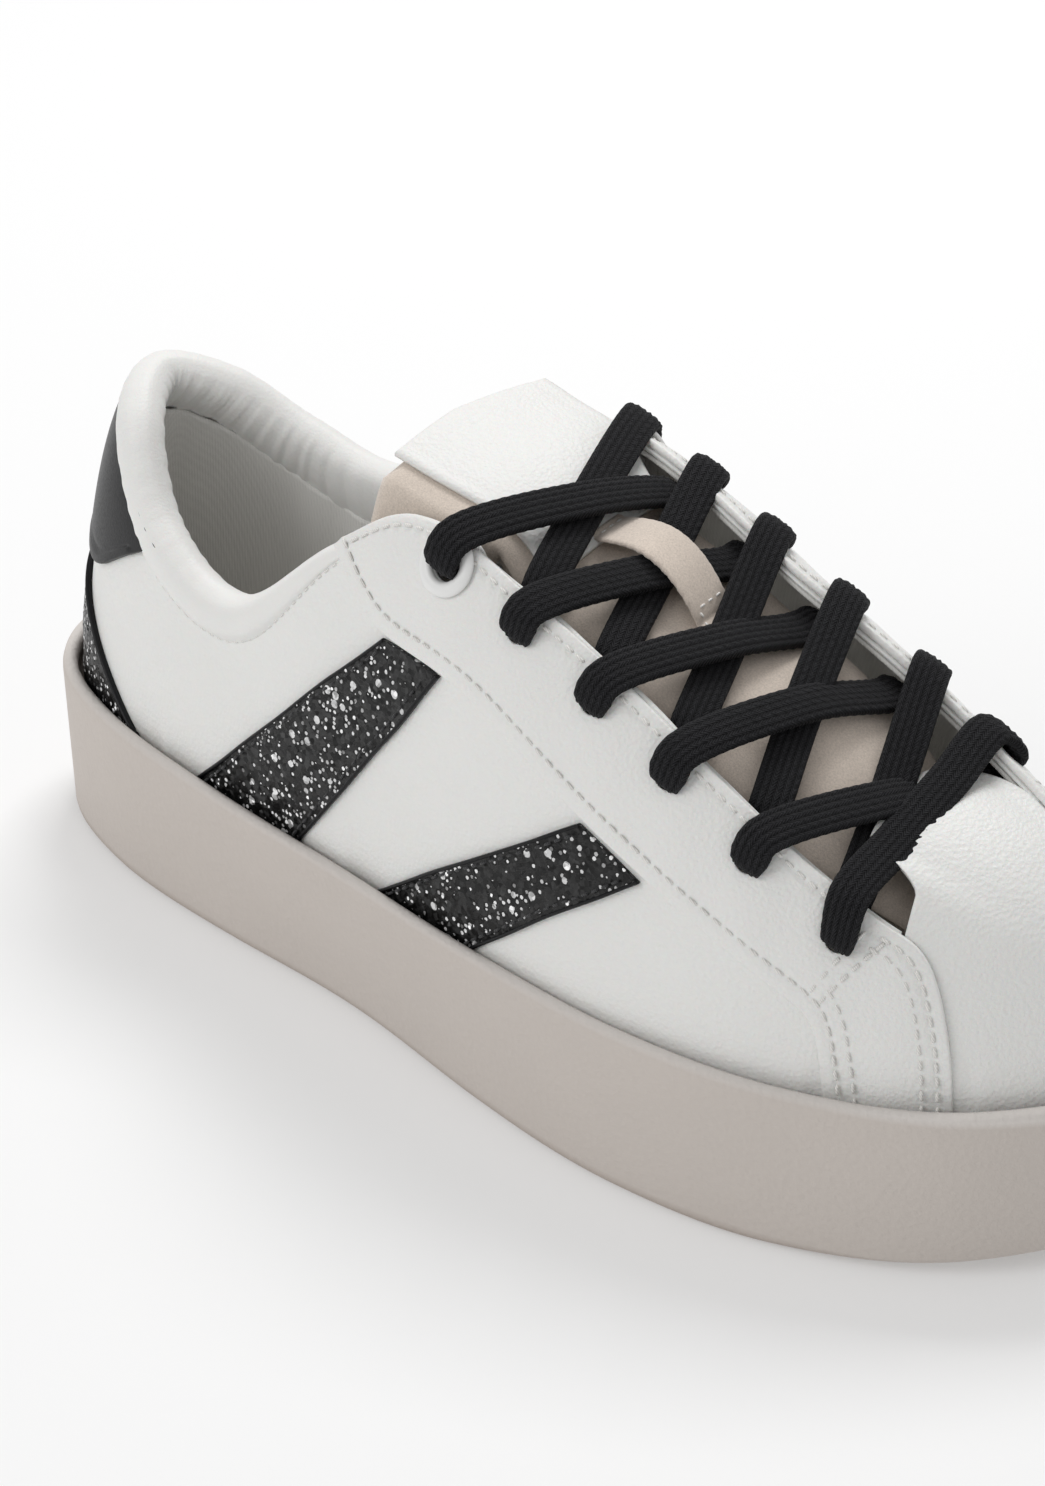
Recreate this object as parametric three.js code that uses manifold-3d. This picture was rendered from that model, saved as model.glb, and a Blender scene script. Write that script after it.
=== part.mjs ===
// Low-cut lace-up cheer shoe, right foot, in millimetres.
// +X points to the toe, +Y to the inner (medial) side of the foot, +Z up.
// The origin lies on the ground under the middle of the sole.
//
// The upper is one smooth wall around the foot. A place on it is given by two numbers:
//   s  runs once around the shoe: 0 at the heel, 9 at the toe, 18 back at the heel.
//      Below 9 it is the outer (lateral) side, above 9 the inner (medial) side.
//   t  runs up the wall: 0 at the lasting edge inside the sole, 1 at the top.
// Every layer of the upper lies at its own depth below that wall, so layers stay parallel.

import * as THREE from 'three';
import { mergeVertices } from 'three/addons/utils/BufferGeometryUtils.js';
import Module from 'manifold-3d';

const wasm = await Module();
wasm.setup();

// ---- Driving dimensions -------------------------------------------------------------

const GAP = 0.3;                    // clearance between touching pieces

// Sole
const SOLE_TOP = 36.5;              // height of the rubber wall
const SOLE_FLOOR = 6;               // thickness of the outsole floor
const SOLE_WALL = 2.3;              // thickness of the rubber wall
const WALL_INSET = 4.1;             // sole outline to the face of the upper
const SPRING_START = 68;            // the toe spring starts here
const SPRING_RISE = 7;              // and lifts the toe by this much, 70 mm further on
const MIDSOLE_TOP = 13.7;
const LASTING_Z = 14;               // lower edge of the upper
const BOARD_TOP = 16.2;
const FOOTBED_TOP = 21.5;

// Layers of the upper, as depths below the wall (negative is outside it)
const OVERLAY = [-1.7, -0.7];       // eyestays, heel tab
const GLITTER = [-1.5, -0.7];       // glitter panels
const LEATHER = 1.0;                // vamp and quarters
const STIFFENER = [1.3, 2.1];       // toe puff and heel stiffener
const LINING = 0.8;
const FOAM_OUTER = 2.4;
const COLLAR_PADDING = 5.7;         // wall to lining around the heel and collar

// Lacing
const ROWS = 6;
const FIRST_EYELET_X = -9.5;
const EYELET_PITCH = 18.6;
const EYELET_SETBACK = 8.2;         // throat edge to eyelet centre
const HOLE_RADIUS = 3.3;
const RING_HOLE_RADIUS = 3.9;
const LACE_WIDTH = 8;
const LACE_THICKNESS = 2;
const LACE_IN_HOLE = 3.2;           // the lace is squeezed to this width in a hole

// Tongue
const TONGUE_CENTRE_Y = -3;
const TONGUE_HALF_WIDTH = 19.5;
const TONGUE_DROP = 8;              // the edges hang this much below the crown
const FACE = [0, 1.3];              // depths of the tongue's three layers
const TONGUE_FOAM = [1.6, 4.6];
const TONGUE_LINING = [4.9, 5.7];
const HINGE_X = -12;                // the free end of the tongue flexes here
const HINGE_GAP = 1.4;

// Stations of the upper, heel to toe to heel. Each row is one place around the shoe:
// the sole outline (x, y), the top of the wall (x, y, z), and how full the wall's
// profile is between them (0 straight, 1 a quarter of a superellipse).
const STATIONS = [
  [-138, 1, -115, 1, 106, 0.55],
  [-128, -19, -106, -15, 101, 0.55],
  [-103, -31, -91, -24, 84, 0.5],
  [-67, -37.5, -68, -27, 78, 0.45],
  [-29, -41.5, -40, -27.5, 101, 0.5],
  [9, -45.8, -13, -19, 116, 0.8],
  [47, -47.3, 35, 3, 108, 0.93],
  [82, -41.5, 71, 7, 91.5, 0.87],
  [115, -24.5, 101, 8, 77, 0.76],
  [138, 9, 122, 8, 61, 0.72],
  [127, 32, 101, 8, 77, 0.66],
  [97, 45, 71, 7, 91.5, 0.74],
  [59, 47.5, 35, 3, 108, 0.85],
  [21, 43, -13, 21, 117, 0.8],
  [-21, 36, -40, 25, 103, 0.5],
  [-63, 33, -68, 24, 88, 0.45],
  [-101, 31, -90, 21, 92, 0.5],
  [-128, 20, -105, 14, 101, 0.55],
];
const LAP = STATIONS.length;
const TOE = LAP / 2;
const PROFILE_POWER = 0.78;         // below 1 squares the shoulders of the profile

const VAMP_SEAM = 7.45;             // s where the quarter meets the vamp
const RIDGE_START = 7;              // s from where both sides meet on the ridge

// Top edge of the lateral and medial quarter: collar, front corner, then the throat
const LATERAL_TOP = [[0, 1], [4.6, 1], [4.88, 0.93], [5.15, 0.8], [5.6, 0.68],
  [6.2, 0.59], [6.9, 0.555], [VAMP_SEAM, 0.52]];
const MEDIAL_TOP = [[0, 1], [4.6, 1], [4.95, 0.975], [5.3, 0.92], [5.7, 0.87],
  [6.2, 0.82], [6.9, 0.79], [VAMP_SEAM, 0.775]];

const WALL_ROWS = [0, 0.2, 0.4, 0.6, 0.78, 0.91, 1];

// ---- Small helpers ------------------------------------------------------------------

const vec = (x, y, z) => new THREE.Vector3(x, y, z);

function smooth(value, from, to) {
  return THREE.MathUtils.smoothstep(value, from, to);
}

function steps(from, to, count) {
  return Array.from({ length: count + 1 }, (_, i) => from + ((to - from) * i) / count);
}

// Uniform Catmull-Rom blend of the four values around a place between b and c.
function catmullRom(a, b, c, d, f) {
  const square = f * f;
  const linear = (c - a) * f;
  const quadratic = (2 * a - 5 * b + 4 * c - d) * square;
  const cubic = (3 * b - a - 3 * c + d) * square * f;
  return 0.5 * (2 * b + linear + quadratic + cubic);
}

// Straight interpolation in a short table of [place, value] pairs.
function lookUp(table, place) {
  for (let i = 1; i < table.length; i += 1) {
    const [from, low] = table[i - 1];
    const [to, high] = table[i];
    if (place <= to) {
      return low + ((high - low) * Math.max(0, place - from)) / (to - from);
    }
  }
  return table[table.length - 1][1];
}

// ---- The sole outline and the wall of the upper ---------------------------------------

function station(s) {
  const lap = ((s % LAP) + LAP) % LAP;
  const i = Math.floor(lap);
  const row = (k) => STATIONS[(i + k + LAP) % LAP];
  return STATIONS[0].map((_, c) => (
    catmullRom(row(-1)[c], row(0)[c], row(1)[c], row(2)[c], lap - i)));
}

// Sole outline, moved inward by the inset.
function outline(s, inset = 0) {
  const [x, y] = station(s);
  const [xa, ya] = station(s - 0.01);
  const [xb, yb] = station(s + 0.01);
  const length = Math.hypot(xb - xa, yb - ya);
  return [x - ((yb - ya) / length) * inset, y + ((xb - xa) / length) * inset];
}

function spring(x) {
  return x > SPRING_START ? SPRING_RISE * ((x - SPRING_START) / 70) ** 2 : 0;
}

// The waist of the sole is cut back at the ground, less and less up to its top.
function waistCut(s, height) {
  const cut = 1.5 + 4.5 * Math.exp(-(((station(s)[0] + 32) / 45) ** 2));
  return cut * Math.max(0, 1 - height / SOLE_TOP);
}

function wall(s, t) {
  const [, , topX, topY, topZ, fullness] = station(s);
  const foot = LASTING_Z + spring(station(s)[0]) * 0.7;
  const angle = (t * Math.PI) / 2;
  const k = THREE.MathUtils.clamp(fullness, 0, 1);
  const inward = (1 - k) * t + k * (1 - Math.max(0, Math.cos(angle)) ** PROFILE_POWER);
  const upward = (1 - k) * t + k * Math.sin(angle) ** PROFILE_POWER;
  const z = foot + (topZ - foot) * upward;
  const [x, y] = outline(s, WALL_INSET + waistCut(s, z));
  return vec(x + (topX - x) * inward, y + (topY - y) * inward, z);
}

function wallNormal(s, t) {
  const along = wall(s + 0.02, t).sub(wall(s - 0.02, t));
  const up = wall(s, Math.min(1, t + 0.01)).sub(wall(s, Math.max(0.001, t - 0.01)));
  const normal = along.cross(up);
  if (t === 0) {
    normal.z = 0;
  }
  return normal.normalize();
}

// On the ridge both sides share one normal, so that the two halves of a layer meet.
function skin(s, t, depth) {
  const lap = ((s % LAP) + LAP) % LAP;
  const onRidge = t >= 1 && lap >= RIDGE_START && lap <= LAP - RIDGE_START;
  const place = onRidge ? Math.min(lap, LAP - lap) : lap;
  const normal = wallNormal(place, t);
  if (onRidge) {
    normal.add(wallNormal(LAP - place, t)).normalize();
  }
  return wall(place, t).addScaledVector(normal, -depth);
}

// Distance around the shoe from the heel, the same on both sides.
function fromHeel(s) {
  const lap = ((s % LAP) + LAP) % LAP;
  return Math.min(lap, LAP - lap);
}

function topEdge(s) {
  const lap = ((s % LAP) + LAP) % LAP;
  return lookUp(lap < TOE ? LATERAL_TOP : MEDIAL_TOP, fromHeel(s));
}

// Depth of the lining's outer face: deep around the padded collar, shallow at the
// throat, and a little deeper again over the toe puff.
function liningDepth(s) {
  const around = fromHeel(s);
  const collar = (COLLAR_PADDING - 1.3) * (1 - smooth(around, 3.2, 4.4));
  const toe = (FOAM_OUTER - 1.3) * smooth(around, VAMP_SEAM + 0.05, 7.9);
  return 1.3 + collar + toe;
}

// ---- Turning grids into closed solids -------------------------------------------------

function solidGeometry(vertices, triangles) {
  const geometry = new THREE.BufferGeometry();
  const flat = vertices.flatMap((v) => [v.x, v.y, v.z]);
  geometry.setAttribute('position', new THREE.Float32BufferAttribute(flat, 3));
  geometry.setIndex(triangles.flat());
  return dropFlatTriangles(mergeVertices(geometry, 1e-3));
}

function dropFlatTriangles(geometry) {
  const index = Array.from(geometry.index.array);
  const kept = [];
  for (let i = 0; i < index.length; i += 3) {
    const [a, b, c] = index.slice(i, i + 3);
    if (a !== b && b !== c && c !== a) {
      kept.push(a, b, c);
    }
  }
  geometry.setIndex(kept);
  return geometry;
}

// A slab between two grids of points, outer(i, j) and inner(i, j). i runs along the
// piece and j across it, turning left-handed seen from outside. zip joins the j end.
function slab(columns, rows, outer, inner, zip = false) {
  const vertices = [];
  const triangles = [];
  const across = rows.length;
  for (const face of [outer, inner]) {
    for (const column of columns) {
      for (const row of rows) {
        vertices.push(face(column, row));
      }
    }
  }
  const far = columns.length * across;
  const at = (layer, i, j) => layer * far + i * across + j;
  const quad = (a, b, c, d) => triangles.push([a, b, c], [a, c, d]);
  const lastColumn = columns.length - 1;
  const lastRow = across - 1;
  for (let i = 0; i < lastColumn; i += 1) {
    for (let j = 0; j < lastRow; j += 1) {
      quad(at(0, i, j), at(0, i + 1, j), at(0, i + 1, j + 1), at(0, i, j + 1));
      quad(at(1, i, j), at(1, i, j + 1), at(1, i + 1, j + 1), at(1, i + 1, j));
    }
    quad(at(1, i, 0), at(1, i + 1, 0), at(0, i + 1, 0), at(0, i, 0));
    if (!zip) {
      quad(at(0, i, lastRow), at(0, i + 1, lastRow), at(1, i + 1, lastRow), at(1, i, lastRow));
    }
  }
  for (let j = 0; j < lastRow; j += 1) {
    quad(at(0, 0, j), at(0, 0, j + 1), at(1, 0, j + 1), at(1, 0, j));
    quad(at(1, lastColumn, j), at(1, lastColumn, j + 1), at(0, lastColumn, j + 1),
      at(0, lastColumn, j));
  }
  return solidGeometry(vertices, triangles);
}

// A layer of the upper over a stretch of the wall. Rows run from 0 to 1 between the
// lasting edge and top(s).
function wallLayer(columns, rows, top, outer, inner, zip = false) {
  const depth = (value, s) => (typeof value === 'function' ? value(s) : value);
  const face = (value) => (s, row) => skin(s, row * top(s), depth(value, s));
  return slab(columns, rows, face(outer), face(inner), zip);
}

// A patch of the wall between two rails, each a curve of (s, t) places.
function railPatch(lowerRail, upperRail, count, depths, across = 3) {
  const curve = (rail) => new THREE.SplineCurve(rail.map(([s, t]) => new THREE.Vector2(s, t)));
  const lower = curve(lowerRail);
  const upper = curve(upperRail);
  const place = (u, v) => lower.getPoint(u).lerp(upper.getPoint(u), v);
  const face = (depth) => (u, v) => {
    const { x: s, y: t } = place(u, v);
    return skin(s, Math.min(t, 1), depth);
  };
  const flipped = place(0.5, 0).x > TOE;
  const columns = steps(0, 1, count);
  return slab(flipped ? columns.reverse() : columns, steps(0, 1, across),
    face(depths[0]), face(depths[1]));
}

// Closed body from rings of equal length, bottom first, with flat ladder caps that
// join the lateral to the medial half of the first and last ring.
function ringLoft(rings) {
  const count = rings[0].length;
  const vertices = rings.flat();
  const triangles = [];
  rings.slice(1).forEach((_, r) => {
    for (let i = 0; i < count; i += 1) {
      const next = (i + 1) % count;
      const low = r * count;
      const high = low + count;
      triangles.push([low + i, low + next, high + next], [low + i, high + next, high + i]);
    }
  });
  const cap = (offset, upward) => {
    for (let i = 0; i < count / 2; i += 1) {
      const a = offset + i;
      const b = offset + i + 1;
      const c = offset + (count - i - 1) % count;
      const d = offset + (count - i) % count;
      if (upward) {
        triangles.push([a, b, c], [a, c, d]);
      } else {
        triangles.push([a, c, b], [a, d, c]);
      }
    }
  };
  cap(0, false);
  cap((rings.length - 1) * count, true);
  return solidGeometry(vertices, triangles);
}

// Ring of points around the shoe: place(s) gives [x, y] and height(x) gives z.
const RING_STEPS = steps(0, LAP, 54).slice(0, -1);

function ring(place, height) {
  return RING_STEPS.map((s) => {
    const [x, y] = place(s);
    return vec(x, y, height(x));
  });
}

function toManifold(geometry) {
  const bare = geometry.clone();
  bare.deleteAttribute('normal');
  bare.deleteAttribute('uv');
  const merged = mergeVertices(bare, 1e-4);
  return new wasm.Manifold(new wasm.Mesh({
    numProp: 3,
    vertProperties: Float32Array.from(merged.attributes.position.array),
    triVerts: Uint32Array.from(merged.index.array),
  }));
}

function fromManifold(solid) {
  const mesh = solid.getMesh();
  const geometry = new THREE.BufferGeometry();
  geometry.setAttribute('position', new THREE.Float32BufferAttribute(mesh.vertProperties, 3));
  geometry.setIndex(Array.from(mesh.triVerts));
  return geometry;
}

function cutAll(geometry, tools) {
  let solid = toManifold(geometry);
  for (const tool of tools) {
    solid = solid.subtract(toManifold(tool));
  }
  return fromManifold(solid);
}

// ---- Materials ------------------------------------------------------------------------

const COLOURS = {
  rubber: ['#beb6af', 0.75],
  midsole: ['#d9d4cc', 0.9],
  board: ['#b59b78', 0.9],
  footbed: ['#d8d2c8', 0.95],
  white_leather: ['#ecebe8', 0.5],
  black_leather: ['#17171a', 0.4],
  glitter: ['#26262b', 0.35],
  stiffener: ['#c9c4b8', 0.8],
  foam: ['#dcd9cf', 0.95],
  lining: ['#e4e1da', 0.9],
  suede: ['#cfc2b3', 0.95],
  eyelet: ['#f2f2f0', 0.35],
  lace: ['#161618', 0.9],
  lace_tip: ['#101012', 0.3],
};

const shoe = new THREE.Group();

function add(name, look, geometry) {
  const [color, roughness] = COLOURS[look];
  geometry.computeVertexNormals();
  const material = new THREE.MeshStandardMaterial({ color, roughness, metalness: 0 });
  const mesh = new THREE.Mesh(geometry, material);
  mesh.name = name;
  shoe.add(mesh);
}

// ---- Sole -----------------------------------------------------------------------------

// Outer face of the sole at a height, moved inward by the inset.
function soleFace(s, height, inset = 0) {
  return outline(s, waistCut(s, height) + inset);
}

function cupsole() {
  const top = (x) => SOLE_TOP + Math.max(0, (x - 78) / 60) ** 2 * 3;
  return ringLoft([
    ring((s) => soleFace(s, 0), spring),
    ring((s) => outline(s), top),
    ring((s) => outline(s, SOLE_WALL), top),
    ring((s) => soleFace(s, SOLE_FLOOR, SOLE_WALL), (x) => SOLE_FLOOR + spring(x)),
  ]);
}

function midsoleFoam() {
  const inset = SOLE_WALL + GAP;
  return ringLoft([
    ring((s) => soleFace(s, SOLE_FLOOR, inset), (x) => SOLE_FLOOR + GAP + spring(x)),
    ring((s) => soleFace(s, MIDSOLE_TOP, inset), (x) => MIDSOLE_TOP + spring(x) * 0.7),
  ]);
}

function insideLining(s, t, clearance) {
  const point = skin(s, t, liningDepth(s) + LINING + clearance);
  return [point.x, point.y];
}

function lastingBoard() {
  const edge = (s) => insideLining(s, 0, GAP);
  return ringLoft([
    ring(edge, (x) => LASTING_Z + GAP + spring(x) * 0.7),
    ring(edge, (x) => BOARD_TOP + spring(x) * 0.7),
  ]);
}

function footbed() {
  return ringLoft([
    ring((s) => insideLining(s, 0.03, 1.3), (x) => BOARD_TOP + GAP + spring(x) * 0.7),
    ring((s) => insideLining(s, 0.08, 1.7), (x) => FOOTBED_TOP + spring(x) * 0.6),
  ]);
}

add('cupsole', 'rubber', cupsole());
add('midsole_foam', 'midsole', midsoleFoam());
add('lasting_board', 'board', lastingBoard());
add('footbed', 'footbed', footbed());

// ---- Eyelets --------------------------------------------------------------------------

// Place on the wall a set distance below the throat edge, at a given x.
function eyeletPlace(side, x) {
  const lap = (around) => (side === 'lateral' ? around : LAP - around);
  let best = null;
  for (const around of steps(4.6, 7.44, 284)) {
    const s = lap(around);
    let t = topEdge(s);
    let point = wall(s, t);
    let run = 0;
    while (run < EYELET_SETBACK) {
      t -= 0.01;
      const next = wall(s, t);
      run += next.distanceTo(point);
      point = next;
    }
    const error = Math.abs(point.x - x);
    if (!best || error < best.error) {
      best = { s, t, error };
    }
  }
  return best;
}

const SIDES = ['lateral', 'medial'];
const eyelets = {};
for (const side of SIDES) {
  eyelets[side] = steps(0, ROWS - 1, ROWS - 1).map((row) => (
    eyeletPlace(side, FIRST_EYELET_X + EYELET_PITCH * row)));
}

// Round tool along the wall's normal, through all layers of the upper.
function holeTool({ s, t }, radius, sides = 8) {
  const tool = new THREE.CylinderGeometry(radius, radius, 14, sides);
  const turn = new THREE.Quaternion().setFromUnitVectors(vec(0, 1, 0), wallNormal(s, t));
  tool.applyQuaternion(turn);
  const centre = wall(s, t);
  return tool.translate(centre.x, centre.y, centre.z);
}

function holeTools(side) {
  return eyelets[side].map((place, row) => (
    holeTool(place, row === 0 ? RING_HOLE_RADIUS : HOLE_RADIUS)));
}

// Flanged ring of the top eyelet. Its axis is the wall's normal.
function eyeletPart(place, profile) {
  const points = profile.map(([r, y]) => new THREE.Vector2(r, y));
  const part = new THREE.LatheGeometry([...points, points[0]], 16);
  const normal = wallNormal(place.s, place.t);
  part.applyQuaternion(new THREE.Quaternion().setFromUnitVectors(vec(0, 1, 0), normal));
  const centre = wall(place.s, place.t);
  part.translate(centre.x, centre.y, centre.z);
  part.deleteAttribute('normal');
  part.deleteAttribute('uv');
  return mergeVertices(part, 1e-4);
}

// ---- Tongue ---------------------------------------------------------------------------

// Crown of the tongue from its root under the vamp to its free end.
const TONGUE_CROWN = new THREE.SplineCurve([[99, 62], [85, 70], [69, 79], [53, 88],
  [37, 96], [23, 101.5], [9, 106], [-3, 111], [-15, 115.5], [-26, 118.5], [-37, 120.5]]
  .map(([x, z]) => new THREE.Vector2(x, z)));

function crownAt(x) {
  let low = 0;
  let high = 1;
  for (let i = 0; i < 24; i += 1) {
    const middle = (low + high) / 2;
    if (TONGUE_CROWN.getPoint(middle).x > x) {
      low = middle;
    } else {
      high = middle;
    }
  }
  return TONGUE_CROWN.getPoint(low).y;
}

// The tongue's outer face: level at the crown, curling down towards both edges.
function tongueFace(x, across, depth) {
  const slope = (crownAt(x + 1) - crownAt(x - 1)) / 2;
  const halfWidth = TONGUE_HALF_WIDTH * (1 - 0.4 * smooth(x, 66, 98));
  const y = TONGUE_CENTRE_Y + across * halfWidth;
  const bend = (-TONGUE_DROP * 2.4 * Math.abs(across) ** 1.4 * Math.sign(across))
    / TONGUE_HALF_WIDTH;
  const z = crownAt(x) - TONGUE_DROP * Math.abs(across) ** 2.4;
  const normal = vec(-slope, -bend, 1).normalize();
  return vec(x, y, z).addScaledVector(normal, -depth);
}

function tongueLayer(from, to, [outer, inner], width = 1) {
  const face = (depth) => (x, across) => tongueFace(x, across * width, depth);
  return slab(steps(from, to, Math.round(Math.abs(to - from) / 8) + 1),
    steps(-1, 1, 6), face(outer), face(inner));
}

// ---- Lace -----------------------------------------------------------------------------

// The lace is one flat braid. A straight bar joins the two front holes, then each end
// comes up between the sides of the throat, crosses the tongue and goes down into the
// next hole from above. Both ends are tucked inside from the top holes.
const ON_TOP = -1.7 - GAP - LACE_THICKNESS / 2 - 0.8;     // depth of a lace on the eyestay
const UNDER = 1.3 + LINING + GAP + LACE_THICKNESS / 2 + 0.9; // and under the lining
const LOW_PASS = LACE_THICKNESS / 2 + 0.5;                // height over the tongue
const HIGH_PASS = LOW_PASS + LACE_THICKNESS + 0.8;        // where it crosses the other end
const RING_LIFT = 1.6;                                    // the top eyelets stand proud
const BELOW_WASHER = 6.8;
const LACE_EDGEWAYS = vec(0.91, 0, -0.41);                // the braid's width lies this way

function overTongue(x, y, height) {
  return tongueFace(x, (y - TONGUE_CENTRE_Y) / TONGUE_HALF_WIDTH, -height);
}

const flat = (point) => ({ point, width: LACE_WIDTH });
const narrow = (point) => ({ point, width: LACE_IN_HOLE });

// Down into a hole from above and out below it.
function throughHole({ s, t }, lift = 0, below = UNDER * 0.95) {
  return [
    narrow(skin(s, t, ON_TOP * 0.75 - lift)),
    narrow(skin(s, t, -lift)),
    narrow(skin(s, t, below)),
  ];
}

// From under one side of the throat, over the tongue, to the hole above on the other side.
function crossing(from, to, height, lift) {
  const start = wall(from.s, topEdge(from.s));
  const end = wall(to.s, topEdge(to.s));
  const over = (share, lift) => {
    const x = THREE.MathUtils.lerp(start.x, end.x, 0.18 + 0.82 * share);
    return flat(overTongue(x, THREE.MathUtils.lerp(start.y, end.y, share), lift));
  };
  return [
    flat(skin(from.s - Math.sign(from.s - LAP / 2) * -0.06, from.t + 0.04, UNDER)),
    over(0.12, LOW_PASS),
    over(0.3, (LOW_PASS + height) / 2),
    over(0.5, height),
    over(0.75, Math.max(height, HIGH_PASS)),
    flat(skin(to.s, topEdge(to.s), ON_TOP - 1 - lift)),
    flat(skin(to.s, (to.t + topEdge(to.s)) / 2, ON_TOP - lift)),
  ];
}

// One half of the lace, from a front hole up to its tucked end.
function laceHalf(startSide) {
  const other = (side) => SIDES[1 - SIDES.indexOf(side)];
  const route = throughHole(eyelets[startSide][ROWS - 1]);
  let side = startSide;
  for (let row = ROWS - 2; row >= 0; row -= 1) {
    const from = eyelets[side][row + 1];
    side = other(side);
    const to = eyelets[side][row];
    const lift = row === 0 ? RING_LIFT : 0;
    route.push(...crossing(from, to, side === 'lateral' ? HIGH_PASS : LOW_PASS, lift));
    route.push(...throughHole(to, lift, row === 0 ? BELOW_WASHER : undefined));
  }
  route.push(...TAIL.map(([around, t]) => flat(tailPoint(side, around, t))));
  return route;
}

// The tucked ends lie against the lining, below the top eyelets.
const TAIL = [[4.72, 0.64], [4.6, 0.52], [4.52, 0.42]];
const TAG = [[4.52, 0.395], [4.48, 0.21]];
const TAG_RADIUS = 1.5;

function tailPoint(side, around, t) {
  const depth = liningDepth(around) + LINING + GAP + TAG_RADIUS + 1.2;
  return skin(side === 'lateral' ? around : LAP - around, t, depth);
}

function laceTag(side) {
  const [start, end] = TAG.map(([around, t]) => tailPoint(side, around, t));
  const axis = end.clone().sub(start);
  const tag = new THREE.CylinderGeometry(TAG_RADIUS, TAG_RADIUS, axis.length(), 10);
  tag.applyQuaternion(new THREE.Quaternion().setFromUnitVectors(vec(0, 1, 0),
    axis.clone().normalize()));
  const middle = start.add(end).multiplyScalar(0.5);
  return tag.translate(middle.x, middle.y, middle.z);
}

function frontBar() {
  const left = eyelets.lateral[ROWS - 1];
  const right = eyelets.medial[ROWS - 1];
  const onWall = ({ s, t }, lift) => flat(skin(s, t, ON_TOP + lift));
  return [
    onWall({ s: left.s, t: left.t + 0.06 }, -0.4),
    onWall({ s: left.s, t: 0.72 }, 0),
    onWall({ s: left.s + 0.05, t: 0.92 }, 0.6),
    onWall({ s: right.s, t: 0.93 }, 0.6),
    onWall({ s: right.s, t: right.t + 0.06 }, -0.4),
  ];
}

// Six-sided flat section swept along a smooth curve through the route.
function sweep(route, samples, grow) {
  const curve = new THREE.CatmullRomCurve3(route.map(({ point }) => point), false, 'centripetal');
  const count = (route.length - 1) * samples;
  const sections = steps(0, 1, count).map((u) => {
    const place = u * (route.length - 1);
    const i = Math.min(Math.floor(place), route.length - 2);
    const width = THREE.MathUtils.lerp(route[i].width, route[i + 1].width, place - i);
    const ahead = curve.getTangent(u);
    const side = LACE_EDGEWAYS.clone().addScaledVector(ahead, -LACE_EDGEWAYS.dot(ahead));
    side.normalize();
    return { centre: curve.getPoint(u), side, up: ahead.clone().cross(side), width };
  });
  const outlineShape = [[1, 0], [0.62, 1], [-0.62, 1], [-1, 0], [-0.62, -1], [0.62, -1]];
  const vertices = sections.flatMap(({ centre, side, up, width }) => (
    outlineShape.map(([a, b]) => centre.clone()
      .addScaledVector(side, a * (width / 2 + grow))
      .addScaledVector(up, b * (LACE_THICKNESS / 2 + grow)))));
  const corners = outlineShape.length;
  const triangles = [];
  for (let i = 0; i < sections.length - 1; i += 1) {
    for (let c = 0; c < corners; c += 1) {
      const a = i * corners + c;
      const b = i * corners + ((c + 1) % corners);
      triangles.push([a, b, b + corners], [a, b + corners, a + corners]);
    }
  }
  const last = (sections.length - 1) * corners;
  for (let c = 1; c < corners - 1; c += 1) {
    triangles.push([0, c + 1, c], [last, last + c, last + c + 1]);
  }
  return solidGeometry(vertices, triangles);
}

// A lace grown by the clearance is the tool that presses its seat into soft layers.
function lace(grow) {
  const first = laceHalf('lateral').reverse();
  const second = laceHalf('medial');
  return sweep([...first, ...frontBar(), ...second], 1, grow);
}

const LACE_CLEARANCE = lace(GAP);
add('lace', 'lace', lace(0));
for (const side of SIDES) {
  add(`lace_tag_${side}`, 'lace_tip', laceTag(side));
}

// ---- Upper ----------------------------------------------------------------------------

const mirrored = (side, s) => (side === 'lateral' ? s : LAP - s);

function sideColumns(side, from, to) {
  const columns = sharedColumns(from, to).map((s) => mirrored(side, s));
  return side === 'lateral' ? columns : columns.reverse();
}

// Layers that lie on each other share the same columns, a third of a step apart.
function sharedColumns(from, to) {
  const first = Math.ceil(from * 3);
  const last = Math.floor(to * 3);
  return [...new Set([from, ...steps(first, last, last - first).map((s) => s / 3), to])];
}

function vampLayer(from, outer, inner) {
  const columns = sharedColumns(from, LAP - from);
  return wallLayer(columns, WALL_ROWS, () => 1, outer, inner, true);
}

add('vamp', 'white_leather', vampLayer(VAMP_SEAM + 0.02, 0, LEATHER));
add('toe_puff', 'stiffener', vampLayer(8, ...STIFFENER));
add('vamp_lining', 'lining', vampLayer(VAMP_SEAM + 0.02, liningDepth,
  (s) => liningDepth(s) + LINING));

const QUARTER_ROWS = WALL_ROWS;
for (const side of SIDES) {
  const columns = sideColumns(side, 0.015, VAMP_SEAM);
  const panel = wallLayer(columns, QUARTER_ROWS, topEdge, 0, LEATHER);
  add(`quarter_${side}`, 'white_leather', cutAll(panel, [...holeTools(side), LACE_CLEARANCE]));
}

function collarLining() {
  const columns = sharedColumns(-VAMP_SEAM, VAMP_SEAM);
  const body = wallLayer(columns, QUARTER_ROWS, topEdge, liningDepth,
    (s) => liningDepth(s) + LINING);
  return cutAll(body, [...SIDES.flatMap(holeTools), LACE_CLEARANCE]);
}

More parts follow.
